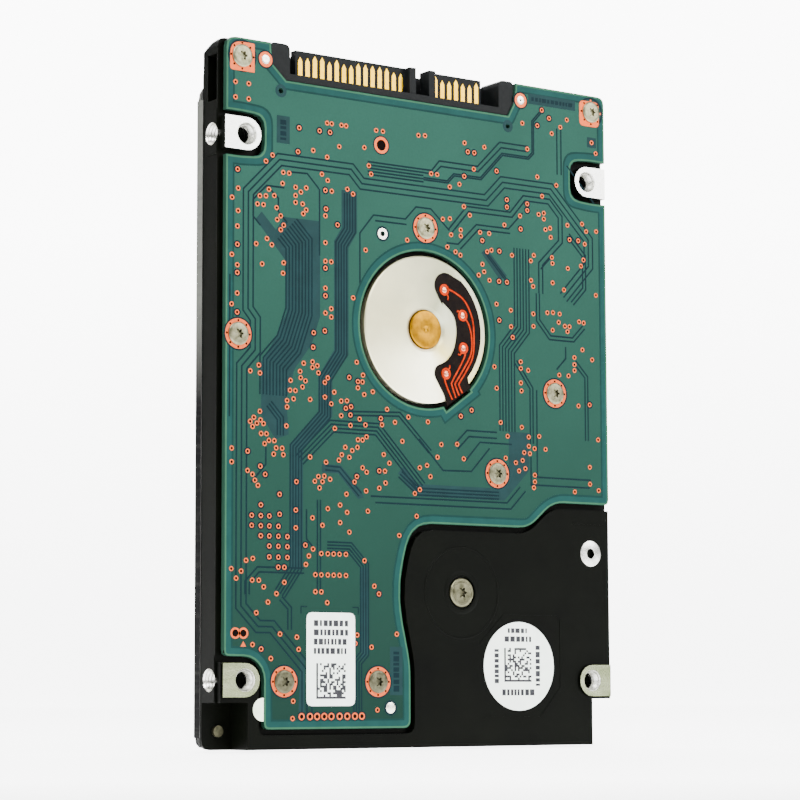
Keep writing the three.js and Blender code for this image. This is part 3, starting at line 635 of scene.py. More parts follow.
# Every finish by name: first the record's slots, then the finishes of single pieces.
FINISHES = {
    "black_coat": lambda: black_coat(bare_faces=True),
    "cover_steel": cover_steel,
    "gasket_rubber": lambda: mottled("gasket rubber", (0.010, 0.010, 0.011), (0.022, 0.022, 0.023),
                                     1.5, (0.6, 0.8), (6, 0.02)),
    "label_paper": lambda: mottled("label paper", (0.68, 0.75, 0.69), (0.76, 0.83, 0.76),
                                   0.5, (0.42, 0.55), (7, 0.004)),
    "screw_steel": screw_steel,
    "solder_mask": solder_mask,
    "insulator_foam": lambda: mottled("insulator foam", (0.015, 0.015, 0.016), (0.04, 0.04, 0.042),
                                      3, (0.8, 0.95), (9, 0.03)),
    "chip_resin": lambda: mottled("chip resin", (0.010, 0.010, 0.011), (0.022, 0.022, 0.024),
                                  2, (0.45, 0.6), (10, 0.01)),
    "black_plastic": lambda: mottled("black plastic", (0.0028, 0.0034, 0.0036),
                                     (0.0055, 0.0062, 0.0064), 1.2, (0.4, 0.56), (8, 0.012),
                                     specular_ior_level=0.07),
    "gold_plate": lambda: mottled("gold plate", (0.60, 0.33, 0.006), (0.78, 0.48, 0.016),
                                  1.0, (0.3, 0.42), (4, 0.004), metallic=1.0),
    "machined_metal": faced_metal,
    "flex_film": lambda: mottled("flex film", (0.002, 0.001, 0.001), (0.005, 0.003, 0.002),
                                 0.8, (0.28, 0.42), (3, 0.012), specular_ior_level=0.03),
    "brass": lambda: mottled("turned brass", (0.19, 0.082, 0.0002), (0.36, 0.172, 0.0006),
                             0.9, (0.26, 0.4), (6, 0.008), metallic=1.0),
    "yoke_steel": lambda: mottled("yoke steel", (0.45, 0.45, 0.46), (0.66, 0.66, 0.67),
                                  0.8, (0.25, 0.4), (5, 0.008), metallic=0.95),
    "copper_wire": wound_wire,
    "disc_film": disc_film,
    "arm_metal": lambda: mottled("arm metal", (0.62, 0.63, 0.64), (0.80, 0.80, 0.80),
                                 0.9, (0.28, 0.4), (4, 0.01), stretch=(3, 1, 0.6), metallic=0.95),
    "ramp_plastic": lambda: mottled("ramp plastic", (0.60, 0.55, 0.43), (0.74, 0.69, 0.57),
                                    0.8, (0.4, 0.55), (6, 0.01)),
    "filter_fleece": fleece,
    "ceramic": lambda: mottled("slider ceramic", (0.02, 0.018, 0.018), (0.06, 0.055, 0.055),
                               3, (0.12, 0.25), (9, 0.003)),
    "thread metal": lambda: mottled("thread metal", (0.42, 0.42, 0.38), (0.78, 0.78, 0.74),
                                    1.2, (0.2, 0.34), (5, 0.01), metallic=0.95),
    "coat": black_coat,
    "pale tab": lambda: mottled("pale tab", (0.52, 0.66, 0.44), (0.80, 0.88, 0.72),
                                0.8, (0.4, 0.55)),
    "edge band": board_tint("edge band", "edge_colour"),
    "edge shade": board_tint("edge shade", "edge_colour", 0.62),
    # Painted highlight: the pale rim along the board's very edge.
    "rim": lambda: printed_board("board rim", (0.020, 0.068, 0.038)),
    "areas": board_tint("dark areas", "area_colour"),
    "lines": board_tint("gaps between tracks", "line_colour"),
    "copper": copper_mask,
    # Painted shade: flat dark discs stand in for the shade inside the holes.
    "hole": lambda: mottled("hole dark", (0.0015, 0.0008, 0.0006), (0.003, 0.0015, 0.001),
                            2, (0.6, 0.8), specular_ior_level=0.02),
    "pin": lambda: mottled("tinned pin", (0.62, 0.60, 0.50), (0.86, 0.85, 0.78),
                           2, (0.2, 0.35), (6, 0.01), metallic=0.9),
    "lead red": lambda: mottled("printed lead", (0.20, 0.010, 0.000), (0.36, 0.022, 0.000),
                                1.2, (0.3, 0.45), (3, 0.01), metallic=0.6,
                                specular_ior_level=0.03),
    "solder": lambda: mottled("solder", (0.42, 0.08, 0.03), (0.80, 0.42, 0.30),
                              2.5, (0.1, 0.25), (4, 0.03), metallic=0.8),
    "ink": label_ink,
    "band": lambda: mottled("printed band", (0.03, 0.10, 0.11), (0.045, 0.13, 0.14),
                            0.8, (0.4, 0.55), specular_ior_level=0.1),
}
MADE = {}


def finish_for(name):
    """The one material made for a slot of the record or for a named finish."""
    if name not in MADE:
        MADE[name] = FINISHES[name]().material
    return MADE[name]


# ------------------------------------------------------------------ settings

def size(name, description, default):
    return FloatProperty(name=name, description=description, default=default, min=0, unit="LENGTH")


def colour(name, description, default):
    return FloatVectorProperty(name=name, description=description, default=default,
                               subtype="COLOR", size=3, min=0, max=1)


class BoardSettings(bpy.types.PropertyGroup):
    mask_colour: colour("Mask", "Colour of the solder mask", (0.0105, 0.041, 0.030))
    edge_colour: colour("Edge band", "Colour of the bare band along the board's edge",
                        (0.0060, 0.031, 0.028))
    line_colour: colour("Lines", "Colour of the gaps between tracks", (0.0022, 0.0095, 0.0120))
    area_colour: colour("Areas", "Colour of the areas where tracks run close together",
                        (0.0065, 0.020, 0.021))
    copper_colour: colour("Copper", "Colour of the finished copper", (0.50, 0.086, 0.022))
    edge_width: size("Edge band width", "Width of the band along the board's edge", 1.1 * MM)
    line_width: size("Line width", "Width of a gap between tracks", 0.25 * MM)
    via_radius: size("Via radius", "Outer radius of a via's copper ring", 0.36 * MM)
    via_hole: size("Via hole", "Radius of a via's hole", 0.2 * MM)


class HardwareSettings(bpy.types.PropertyGroup):
    board_head: size("Board screw head", "Radius of a board screw's head", 1.62 * MM)
    cover_head: size("Cover screw head", "Radius of a cover screw's head", 1.6 * MM)
    star: size("Star recess", "Mean radius of the star recess in a screw", 0.58 * MM)
    thread_pitch: size("Thread pitch", "Pitch of the mounting threads", 0.5 * MM)
    ring_radius: size("Copper ring", "Outer radius of the copper ring under a board screw",
                      2.15 * MM)


class LabelSettings(bpy.types.PropertyGroup):
    cells: IntProperty(name="Code cells", description="Cells along one side of a code patch",
                       default=16, min=4)
    seed: IntProperty(name="Code seed", description="Seed of the code patches and bars", default=11)
    ink: colour("Ink", "Colour of the print on the labels", (0.012, 0.012, 0.014))


class StageSettings(bpy.types.PropertyGroup):
    lens: FloatProperty(name="Lens", description="Focal length in millimetres", default=116.75)
    lights: BoolProperty(name="Lights", description="Adds the studio lights", default=True)
    floor_size: size("Floor size", "Width of the floor and backdrop", 6.0)


class DrivePiece(bpy.types.Operator):
    """Shared options of the operators that make pieces"""
    bl_options = {"REGISTER", "UNDO"}


# ------------------------------------------------------------------ the frame's own surfaces

class DRIVE_OT_surfaces(DrivePiece):
    """Gives every part of the frame the finish of its slot"""
    bl_idname = "drive.surfaces"
    bl_label = "Surfaces of the frame"

    def execute(self, context):
        for part in frame["record"]["subparts"]:
            mesh = frame["nodes"][part["node"]].data
            mesh.materials.clear()
            mesh.materials.append(finish_for(part["material_slot"]))
        return {"FINISHED"}


class DRIVE_OT_case(DrivePiece):
    """Adds the mounting threads, the raised lines and the small metal marks on the casting"""
    bl_idname = "drive.case"
    bl_label = "Casting details"

    MOUNTS = [(-30.86, 9.6), (30.86, 9.6), (-30.86, 86.2), (30.86, 86.2)]
    HOLE_RADIUS, ROOT, CREST = 1.6, 1.38, 1.2      # radii of a mounting hole and its thread
    COUNTERSINK, FIRST_TURN = 0.3, 0.35            # depths below the mouth of a hole
    HOLE_START, FACE_HOLE_END, SIDE_HOLE_END = 0.03, 2.35, 2.3
    SIDE_FACE = 34.925
    SIDE_HOLE_DEPTH = 3.0
    LAND = 0.4                                     # depth of the casting's lower face
    EMBOSS = [(10, 15), (14.5, 19.4), (24.4, 19.4), (25, 18.8), (25, 8.5), (21.1, 4.2),
              (10.4, 4.2)]
    RIBS = [(-34.2, -29.2, 13.3, 13.7), (27.6, 34.2, 33.2, 33.5)]
    BARE_DISC = (31.1, 28.8)

    def thread(self, name, start, stop, pitch):
        """A countersunk, threaded sleeve between two depths, about the origin."""
        outer, root, crest = self.HOLE_RADIUS, self.ROOT, self.CREST
        profile = [(outer, start), (outer - 0.02, start), (root, start + self.COUNTERSINK)]
        depth = start + self.FIRST_TURN
        while depth + pitch < stop:
            profile += [(root, depth), (crest, depth + pitch / 2)]
            depth += pitch
        profile += [(root, stop), (outer, stop)]
        return turned(name, profile, (0, 0), steps=32)

    def threads(self, pitch):
        """The sleeves of the four holes in the mounting face and the four in the sides."""
        down = self.thread("thread", self.HOLE_START, self.FACE_HOLE_END, pitch)
        sleeves = [copied("mount_thread", down, x, z) for x, z in self.MOUNTS]
        bpy.data.objects.remove(down)
        for x, z in self.MOUNTS:
            inward = self.thread("side_thread", self.HOLE_START, self.SIDE_HOLE_END, pitch)
            inward.location.y = HALF_DEPTH * MM
            settle(inward)
            inward.rotation_euler.z = math.radians(90 if x > 0 else -90)
            inward.location = (math.copysign(self.SIDE_FACE, x) * MM,
                               (self.SIDE_HOLE_DEPTH - HALF_DEPTH) * MM, z * MM)
            sleeves.append(settle(inward))
        return close_up(joined("mounting_threads", sleeves))

    def lines(self):
        """The raised lines about the pivot and on the land, just proud of the casting."""
        land = self.LAND
        return joined("casting_lines", [
            turned("pivot_ring", [(6.52, land), (6.56, land - 0.05), (6.76, land - 0.05),
                                  (6.82, land)], PIVOT, 96),
            turned("pivot_step", [(2.45, land), (2.5, land - 0.07), (2.85, land - 0.09),
                                  (3.2, land)], PIVOT, 64),
            flat("emboss", [strip(self.EMBOSS, 0.22)], land - 0.045, land),
            *(flat("rib", [rectangle(*rib)], land - 0.05, land) for rib in self.RIBS)])

    def execute(self, context):
        pitch = context.scene.drive_hardware.thread_pitch / MM
        finish_piece(smooth(self.threads(pitch)), "screw_steel", "thread metal")
        finish_piece(smooth(self.lines()), "black_coat", "coat")
        disc = turned("bare_marks", [(0.75, self.LAND), (0.78, 0.36), (1.85, 0.36),
                                     (1.95, self.LAND)], self.BARE_DISC, 48)
        finish_piece(smooth(disc), "screw_steel", "thread metal")
        tab = flat("paper_tab", [[(-27.64, 3.95), *arc((-27.75, 5.55), 1.62, 267, 93, 14),
                                  (-27.64, 7.16)]], 0.365, 0.395)
        finish_piece(tab, "label_paper", "pale tab")
        return {"FINISHED"}


# ------------------------------------------------------------------ circuit board

BOARD_CORNERS = [
    (-34.1, 89.4), (-31.6, 89.4, 0.5), (-27.7, 89.2, 2.6), (-27.7, 83.3, 2.6), (-31.6, 83, 0.5),
    (-34.1, 83), (-34.1, 12.9, 0.8), *arc((-30.86, 9.6), 3.25, 90, 0, 6), (-27.6, 2.8, 0.9),
    (-2.7, 2.8, 1.2), (-2.7, 12, 2), (-5.1, 22.5, 6), (-2.4, 32.3, 3.5), (19.2, 32.3, 2),
    (23.8, 36.3, 2), (34.7, 36.3, 0.9), (34.7, 83), (31.6, 83, 0.5), (27.8, 83.3, 2.6),
    (27.8, 89.3, 2.6), (31.6, 89.6, 0.5), (34.7, 89.6), (34.7, 100, 1.2), (17.4, 100),
    (17.2, 97.2), (15.9, 94.8), (-24.1, 94.8), (-26.5, 97), (-26.7, 100), (-34.1, 100, 1.6),
]
MOTOR_OPENING = 11.65
# The square notch of the motor opening: its direction in degrees, its reach and its two sides.
MOTOR_NOTCH = (-54.6, 11.85, -3.77, 1.73)


def board_edge(distance):
    """The board's outline, moved inwards by a distance."""
    corners = []
    count = len(BOARD_CORNERS)
    for i, corner in enumerate(BOARD_CORNERS):
        here = Vector(corner[:2])
        arrive = (here - Vector(BOARD_CORNERS[i - 1][:2])).normalized()
        leave_by = (Vector(BOARD_CORNERS[(i + 1) % count][:2]) - here).normalized()
        sides = Vector((-arrive.y, arrive.x)), Vector((-leave_by.y, leave_by.x))
        normal = (sides[0] + sides[1]) / (1 + sides[0] @ sides[1])
        radius = corner[2] if len(corner) > 2 else 0
        outward = arrive.cross(leave_by) > 0
        if radius:
            radius = max(0.05, radius - distance) if outward else radius + distance
        elif not outward:
            radius = distance * 0.5
        corners.append((*(here + normal * distance), radius))
    return rounded(corners)


def opening_edge(distance):
    """The motor opening's outline with its notch, grown by a distance."""
    turn, reach, left, right = MOTOR_NOTCH
    radius, reach, left, right = (MOTOR_OPENING + distance, reach + distance, left - distance,
                                  right + distance)
    start, stop = (turn + math.degrees(math.asin(side / radius)) for side in (right, left))
    around = arc(SPINDLE, radius, start, stop + 360, 90)
    return around + [polar(side, turn + 90, polar(reach, turn, SPINDLE)) for side in (left, right)]


class DRIVE_OT_board_edge(DrivePiece):
    """Adds the bare band and its dark line along the board's edge and the motor opening, and a pale
    rim at the very edge as a painted highlight
    """
    bl_idname = "drive.board_edge"
    bl_label = "Board edge band"

    DARK_LINE, PALE_RIM = 0.28, 0.3

    def execute(self, context):
        width = context.scene.drive_board.edge_width / MM
        # Each band: where it starts and stops, where it stops at the opening, and its rise.
        for name, start, stop, at_opening, rise, finish in (
                ("band", 0.06, width, 0.04, 0.006, "edge band"),
                ("line", width, width + self.DARK_LINE, width, 0.012, "edge shade"),
                # the rim is a painted highlight where the board's edge catches the light
                ("rim", 0.04, self.PALE_RIM, 0.03, 0.01, "rim")):
            near = BOARD_FACE - rise
            band = joined(f"board_edge_{name}", [
                flat(name, [board_edge(start), board_edge(stop)], near, BOARD_FACE),
                flat(f"opening_{name}", [opening_edge(stop), opening_edge(at_opening)],
                     near, BOARD_FACE)])
            finish_piece(band, "solder_mask", finish)
        return {"FINISHED"}


# Each run of lines: its middle path, how many lines lie side by side, and their pitch.
LINE_RUNS = [
    [([(-20.5, 5), (-20.5, 11.1), (-26.3, 17), (-28.6, 17), (-31.4, 19.8), (-31.4, 53.2),
       (-29.2, 55.6), (-29.2, 60), (-30.4, 61.4), (-30.4, 78), (-25.2, 83.2), (-12.9, 83.2),
       (-11, 81.3), (11.6, 81.3), (14.7, 84.4), (24, 84.4), (31.3, 77.2), (31.3, 73.1),
       (26.3, 67.8)], 3, 0.83),
     ([(-13.15, 79.6), (-13.15, 74.2), (-14.65, 72), (-14.65, 56.2), (-17.5, 52.2),
       (-17.5, 47.2), (-22.4, 42.2), (-22.4, 25.2), (-25, 21.6)], 5, 0.47),
     ([(18.2, 74.6), (18.2, 62.3), (15.3, 59), (15.3, 46.6)], 6, 0.56),
     ([(-9, 76.9), (-3.3, 76.9), (-1.4, 78.9), (1.3, 78.9), (4.7, 76)], 1, 0),
     ([(-9, 76.9), (-11.4, 74), (-11.4, 66.4)], 1, 0),
     ([(-8.7, 76.1), (-3.1, 76.1)], 1, 0),
     ([(-17.1, 28.4), (-13.2, 28.4), (-10.7, 25.9), (-10.7, 13.4), (-11.9, 12.2), (-11.9, 5)],
      4, 0.45),
     ([(6.7, 73.4), (10.1, 76.7), (16.1, 76.7)], 1, 0),
     ([(4.2, 74.1), (6.3, 74.1), (9.7, 77.4), (15.8, 77.4), (18.5, 80.1)], 1, 0),
     ([(25.7, 94), (25.7, 86.8)], 2, 0.8),
     ([(11.3, 73.5), (15.3, 69.5)], 2, 0.3)],
    [([(-10, 83.75), (0, 83.75)], 5, 0.47),
     ([(0, 84.7), (1.5, 84.7), (2.9, 86.3), (10, 86.3), (14.2, 90.5), (19.7, 90.5)], 1, 0),
     ([(0, 84.2), (1.8, 84.2), (3.2, 85.5), (10.1, 85.5), (14.5, 89.7), (19.7, 89.7)], 1, 0),
     ([(0, 83.3), (4.4, 83.3), (5.6, 84.5), (10.6, 84.5), (14.7, 88.7), (19.7, 88.7),
       (20.6, 89.6), (20.6, 94.5), (22.4, 96.4)], 2, 0.3),
     ([(-23.6, 81.6), (-20.5, 81.7), (-18.4, 79.6), (-18.4, 70)], 1, 0),
     ([(4.9, 76), (8.1, 79.6), (16.3, 79.6), (18.8, 82.4), (23.6, 82.4), (25.8, 80.2),
       (25.8, 76.4), (21.9, 72.6), (21.9, 68)], 2, 0.75),
     ([(27.2, 88.4), (32.6, 83)], 1, 0),
     ([(-27.4, 42), (-27.4, 39.6), (-29.8, 37)], 1, 0),
     ([(16.9, 57.3), (19.9, 53.4), (19.9, 45)], 2, 0.55),
     ([(20.9, 53.2), (20.9, 40), (31.3, 40)], 1, 0),
     ([(19.7, 43), (19.7, 38.8), (31, 38.8)], 1, 0),
     ([(21.3, 68), (21.3, 63.9), (23.6, 61.4), (28.1, 61.4), (30.2, 63.5)], 2, 0.6),
     ([(-13.6, 47.6), (-4.5, 48), (1, 42.8)], 2, 0.55),
     ([(-21.8, 40.5), (-16.3, 45.6), (-8.4, 45.6), (-0.6, 37.6)], 4, 0.55),
     ([(13.3, 45.9), (7.9, 45.9), (5.7, 43.8)], 2, 0.9),
     ([(16.1, 44.7), (10.1, 44.7), (7.4, 41.8)], 1, 0),
     ([(11.9, 43.9), (8.5, 40.3), (3.3, 40.2), (-1, 44.6)], 1, 0),
     ([(-9.6, 35.9), (15.1, 35.9), (17.6, 38.4)], 1, 0),
     ([(-8.8, 35), (15.8, 35), (18.6, 37.8)], 1, 0),
     ([(-17.4, 39.6), (-15, 39.5), (-11.4, 36)], 2, 0.6),
     ([(-18.5, 35), (-18.5, 22)], 2, 0.5),
     ([(-21, 24.9), (-28.6, 24.9), (-30.4, 23.1), (-30.4, 21.4)], 2, 0.7),
     ([(-24.9, 21), (-23.4, 19.6), (-23.4, 16.6)], 2, 0.6),
     ([(-26.9, 48.2), (-25, 46.2), (-25, 43.8)], 3, 0.5),
     ([(-33.4, 66), (-33.4, 46)], 1, 0),
     ([(28.4, 58), (30.6, 55.8), (30.6, 46)], 2, 0.55)],
    [([(27.3, 77.6), (30.4, 74.6), (30.4, 69.5), (28, 67)], 2, 0.6),
     ([(21.9, 71.8), (24.1, 74)], 1, 0),
     ([(-23.9, 73.4), (-21.9, 71.4), (-21.9, 61.6), (-23.6, 56.8), (-26.2, 54), (-26.2, 49.4)],
      9, 0.55),
     ([(-24.4, 79.2), (-27.4, 79.2), (-29.6, 77), (-29.6, 74.6), (-28.4, 73.4)], 1, 0),
     ([(-23.9, 74.2), (-25.4, 75.7), (-25.4, 77.6), (-26.6, 78.6)], 1, 0),
     ([(-4.4, 39.3), (-1.2, 36.9), (13.6, 36.9)], 3, 0.5),
     ([(24.8, 56.6), (26.6, 58.4), (26.6, 60.2)], 1, 0),
     ([(-20.6, 33.6), (-20.6, 29.4), (-19.6, 28.4)], 1, 0)],
]

# Areas where the tracks run so close that the mask looks darker.
DARK_AREAS = [
    [(-24.4, 75), (-18.3, 75), (-18.3, 61.2), (-19.8, 57), (-22.6, 53.4), (-24, 49), (-23.6, 44),
     (-25.8, 43.2), (-28.2, 46.6), (-28.2, 54), (-25.9, 57.4), (-24, 61.4), (-24, 68.6),
     (-29.2, 74.2), (-28.2, 75.4), (-25.8, 73)],
    [(-14.6, 80), (-11.9, 80), (-11.9, 74), (-13.4, 71.6), (-13.4, 56), (-16.2, 52.4),
     (-16.2, 47), (-21.2, 42), (-21.2, 25), (-23.4, 25), (-23.4, 42.4), (-18.6, 47.4),
     (-18.6, 52.6), (-15.9, 56.6), (-15.9, 72.4), (-14.6, 74.4)],
    [(-18, 40.1), (-14.8, 40.1), (-11.2, 36.6), (-10.8, 35.6), (-11.8, 35.4), (-15.2, 38.9),
     (-18, 38.9)],
    [(-1.2, 38), (13.6, 38), (15.5, 40), (15.5, 46.6), (19.4, 46.6), (19.4, 41), (14.6, 36.2),
     (-1.2, 36.2), (-4.8, 39.4), (-3.8, 40.4)],
    [(-11.3, 25.6), (-10.1, 25.6), (-10.1, 13.4), (-11.3, 12.2)],
    [(-21.6, 13), (-20.9, 12.4), (-20.9, 5.2), (-21.9, 5.2)],
    [(14.1, 69.4), (15.4, 70.2), (11.6, 74), (10.6, 73.2)],
]

PLAIN_VIAS = [
    (-32.6, 93.5), (-30.4, 93.5), (-32.6, 91.3), (-30.4, 91.3), (-17.1, 89.5), (-16.3, 89.5),
    (-14.6, 89.5), (-13.8, 89.5), (-8.5, 89.5), (-7.3, 89.5), (-0.9, 89.7), (0.3, 89.8),
    (7.6, 89.6), (11.3, 89.4), (-15, 86.3), (-10.6, 86.7), (-19.5, 85.2), (-17.1, 84.5),
    (-9.8, 84.1), (-9.4, 82.9), (-26.4, 83.7), (-27.5, 82.7), (-18, 81.9), (-17, 81.1),
    (-24.6, 81.4), (-23.6, 81.4), (-24.7, 79.8), (-16.3, 79.6), (-13.6, 80.2), (-12.6, 79.6),
    (-32.1, 78.3), (-33.1, 76.9), (-32.1, 75.1), (-32.2, 72.9), (-33.1, 68.8), (-32.2, 67.4),
    (-32.2, 63.4), (-33.1, 61.8), (-22.5, 79.5), (-20.7, 79.6), (-21.6, 78.9), (-22.5, 78.3),
    (-22.5, 77.3), (-21.3, 77.2), (-20.7, 76.4), (-21.2, 75.8), (-27, 78.7), (-28.5, 77.6),
    (-27.5, 77.7), (-26.1, 77.9), (-28.9, 76.4), (-27.9, 76.4), (-25.7, 76.2), (-25, 75.1),
    (-25.6, 74.5), (-24.5, 73.8), (-25, 73.1), (-27.3, 71.6), (-26.5, 70.8), (-29.1, 70.7),
    (-28.1, 67.9), (-24.5, 68.4), (-24.6, 66.9), (-17.4, 75.9), (-17.4, 72), (-17.4, 69.3),
    (-16.4, 69.3), (-10.4, 71.6), (-3, 73.8), (-17.4, 65.4), (-12.6, 64.4), (-16.4, 62.5),
    (-17.4, 61.8), (-16.4, 61.3), (-12, 55.1), (9.3, 85.8), (21.4, 86), (25.1, 85.1),
    (1.4, 84.2), (2.5, 84.2), (6.6, 83.2), (4.8, 82.6), (22.3, 83.1), (7.4, 79.9), (8.5, 78.7),
    (18, 79.6), (21.6, 80.2), (22.6, 80.5), (22.6, 79.6), (23.8, 78.3), (22.9, 78),
    (23.9, 76.9), (27.2, 79.1), (30.1, 79.6), (30.9, 78.5), (32.9, 78.7), (30.6, 76.5),
    (3.5, 77.6), (4.8, 77.8), (15, 77.9), (6.8, 76.3), (6.8, 75.4), (5, 75.4), (10.4, 76.3),
    (12.1, 76.3), (4.3, 73.5), (5.8, 72.9), (6.7, 72.5), (11.7, 73.5), (12.5, 73.8),
    (16.4, 73.4), (20.6, 73.8), (20, 72.9), (24.1, 73.8), (24.2, 72.9), (27.2, 72.4),
    (30.3, 74), (29.8, 73), (10.8, 71.5), (11.1, 70.4), (10.1, 69.8), (12.1, 69.2), (20, 69.9),
    (20.4, 69), (24.2, 69.9), (26.4, 69), (32.7, 68.7), (27.3, 95.6), (18.6, 94), (26, 94.3),
    (24.3, 93.1), (19.5, 90.1), (33, 91), (32.2, 92.6), (13.4, 65.7), (16.1, 65), (16.1, 62.5),
    (20.4, 64.8), (20.4, 62.9), (23.1, 65.2), (24.2, 65.3), (25.5, 65.2), (25.3, 63.9),
    (26.5, 63.4), (27.4, 63.4), (27, 62.6), (24.1, 62.6), (29.3, 64.3), (30.2, 64.2),
    (29.9, 60), (31.8, 58.6), (28.3, 58.7), (28.3, 57.6), (28.3, 56.7), (25.3, 55.8),
    (27.1, 55.8), (12.9, 56.2), (17.9, 57.3), (17.9, 56.3), (19.3, 56.1), (17.9, 54.1),
    (18, 52.9), (13.3, 53), (29, 51.3), (0.6, 47.2), (14, 47.9), (18, 47.4), (19.3, 46),
    (15.3, 45.9), (21.3, 46.2), (32.8, 46.3), (20.4, 44.3), (22.5, 44.3), (19.3, 44.6),
    (18.4, 43.6), (19.5, 43.5), (3, 44), (5.9, 44.2), (2.3, 42.1), (7.1, 42.1), (14.9, 42.6),
    (16.8, 42), (18.1, 42.4), (18.6, 41.2), (17.4, 40.8), (31.1, 42), (0.4, 40.8),
    (-0.9, 40.4), (1, 39.2), (20.4, 40.3), (20.4, 39.3), (20.2, 38.4), (31.1, 39.4),
    (28.1, 38.1), (32.8, 38.5), (-0.9, 37.2), (-1.8, 36.6), (-19.6, 54.6), (-21.1, 54.3),
    (-18.8, 54.1), (-19.6, 53.8), (-18.6, 53.1), (-21.7, 53.1), (-21.6, 52.2), (-20.8, 51.8),
    (-23.3, 51.7), (-21.3, 50.9), (-23.4, 50.3), (-22.5, 50.3), (-22.8, 49.1), (-23.9, 48.8),
    (-23.9, 47.9), (-20, 49.2), (-17, 52.5), (-17.5, 51.8), (-15.9, 50.5), (-17.5, 49.7),
    (-16.4, 48.8), (-10.9, 53.3), (-11, 52.3), (-11.8, 51.4), (-10.7, 50.5), (-9.2, 51),
    (-14.7, 49.3), (-13.7, 49.4), (-14.7, 47.2), (-11.5, 46.9), (-10.5, 46.1), (-13.1, 45.9),
    (-15.8, 45.3), (-7.6, 46.3), (-5.3, 46.8), (-6.7, 48.6), (-2.9, 47.7), (-4, 44.1),
    (-10.3, 44.4), (-11, 43.9), (-11.8, 43.9), (-11.9, 42.8), (-12.8, 42.3), (-14, 42.7),
    (-14.6, 41.6), (-13.3, 41.3), (-15.1, 40.8), (-17.3, 40.4), (-20, 41), (-7.3, 42),
    (-6.3, 40.8), (-7.1, 39.6), (-11, 39.9), (-10.3, 39.3), (-12.4, 37.8), (-7, 37.9),
    (-8.1, 37.1), (-10.4, 36.6), (-13.8, 36), (-14.9, 34.4), (-18.6, 38.3), (-17.6, 38.4),
    (-16.6, 38), (-19.2, 37.6), (-17.9, 37.6), (-18.4, 36.7), (-28.6, 53.5), (-30, 52.6),
    (-28.4, 52.4), (-24, 45.2), (-28.4, 47), (-29.4, 46.1), (-30, 45.5), (-28.3, 45.8),
    (-28.9, 45.3), (-27.8, 45.3), (-29.6, 44.8), (-28.2, 43.9), (-27.3, 43.9), (-26.9, 43),
    (-26, 43), (-27.6, 42.5), (-25.7, 42), (-24.7, 42), (-26.1, 41.1), (-24.5, 41.1),
    (-33, 41.6), (-33, 39.7), (-30.4, 38.6), (-29.6, 38.1), (-29.2, 37.3), (-28.7, 36.6),
    (-22.4, 30.9), (-19.6, 32.4), (-17, 33.8), (-13.7, 33.4), (-14.9, 31.9), (-17.9, 31.4),
    (-13.3, 30.6), (-10.1, 33.7), (-1.5, 33.3), (-4.6, 30.4), (-19.5, 28), (-20.2, 27),
    (-20.7, 25.8), (-30.6, 26.1), (-29.5, 26.4), (-33, 24.9), (-31.4, 24.6), (-32.2, 23.6),
    (-29.6, 23.4), (-28.5, 23.4), (-27.7, 22.5), (-24.3, 23.2), (-25.6, 21.6), (-27, 20.4),
    (-28.9, 18.9), (-18.1, 27.4), (-17, 27.4), (-16, 27.4), (-15, 27.4), (-13.9, 27.4),
    (-19.1, 24.4), (-18.1, 24.4), (-17, 24.4), (-16, 24.4), (-15, 24.4), (-13.9, 24.4),
    (-19.1, 22), (-18.1, 22), (-10.7, 26.6), (-9, 23), (-17.1, 20.5), (-25, 16), (-22.2, 15.6),
    (-21.9, 13.9), (-29.5, 14.5), (-26.5, 12.6), (-12, 16), (-9.5, 14.3), (-5.1, 16.2),
    (-22.8, 6.7), (-8.5, 5.4), (-22.9, 4.3),
]

# Vias that stand in a dark clearance ring of their own.
RINGED_VIAS = [
    (-21.9, 88.2), (-18.4, 88.2), (-16.6, 88.2), (8.2, 88.3), (9.4, 88.3), (-22.1, 84.7),
    (-17.4, 79.6), (-32.2, 81), (-32.2, 70.3), (-32.2, 66.3), (-32.2, 60.7), (-17.3, 76.9),
    (-15.3, 74.8), (-17.4, 68.3), (-17.4, 64.3), (-17.5, 59.2), (-19.4, 58.8), (-19.5, 56.7),
    (13.6, 86), (7.5, 84.5), (15.5, 81.8), (15.5, 80.7), (19.4, 81.6), (19.4, 80.6),
    (27.6, 76.9), (29.3, 76.9), (18.1, 77.6), (10.8, 75.1), (14, 73.8), (13.9, 69.2),
    (15.4, 69.2), (22.4, 96.5), (23.8, 95.4), (21.5, 94), (13.9, 63.3), (16.4, 60.9),
    (31.2, 51.6), (8.6, 49.4), (6.6, 48.4), (-13.3, 52.8), (-11.8, 52.3), (-13, 48.6),
    (-13.9, 48.3), (-13.1, 47.4), (-7.8, 47.2), (-8.1, 39.6), (-12, 38.6), (-22.3, 37.4),
    (-25.1, 35.5), (-30.4, 41.3), (-28.3, 39.3), (-27.5, 38.2), (-28.2, 33.9), (-29.7, 32.4),
    (-28.2, 32.4), (-26.8, 32.4), (-25.1, 32.7), (-29.7, 31), (-28.2, 31), (-26.8, 31),
    (-25.3, 31), (-28.2, 29.6), (-26.8, 29.6), (-25.3, 29.6), (-23.8, 29.6), (-26.8, 28.2),
    (-25.3, 28.2), (-23.8, 28.2), (-26.8, 26.7), (-25.3, 26.7), (-23.8, 26.7), (-25.3, 25.3),
    (-24.3, 25.3), (-22.4, 33.4), (-20.8, 28.5), (-8.2, 21.9), (-28.1, 13.9), (-12.3, 14.8),
]
SOLDER_ROW = [(x, 4.55) for x in (-21.4, -20, -18.8, -17.6, -16.4, -15, -13.7, -12.4, -11.2)]


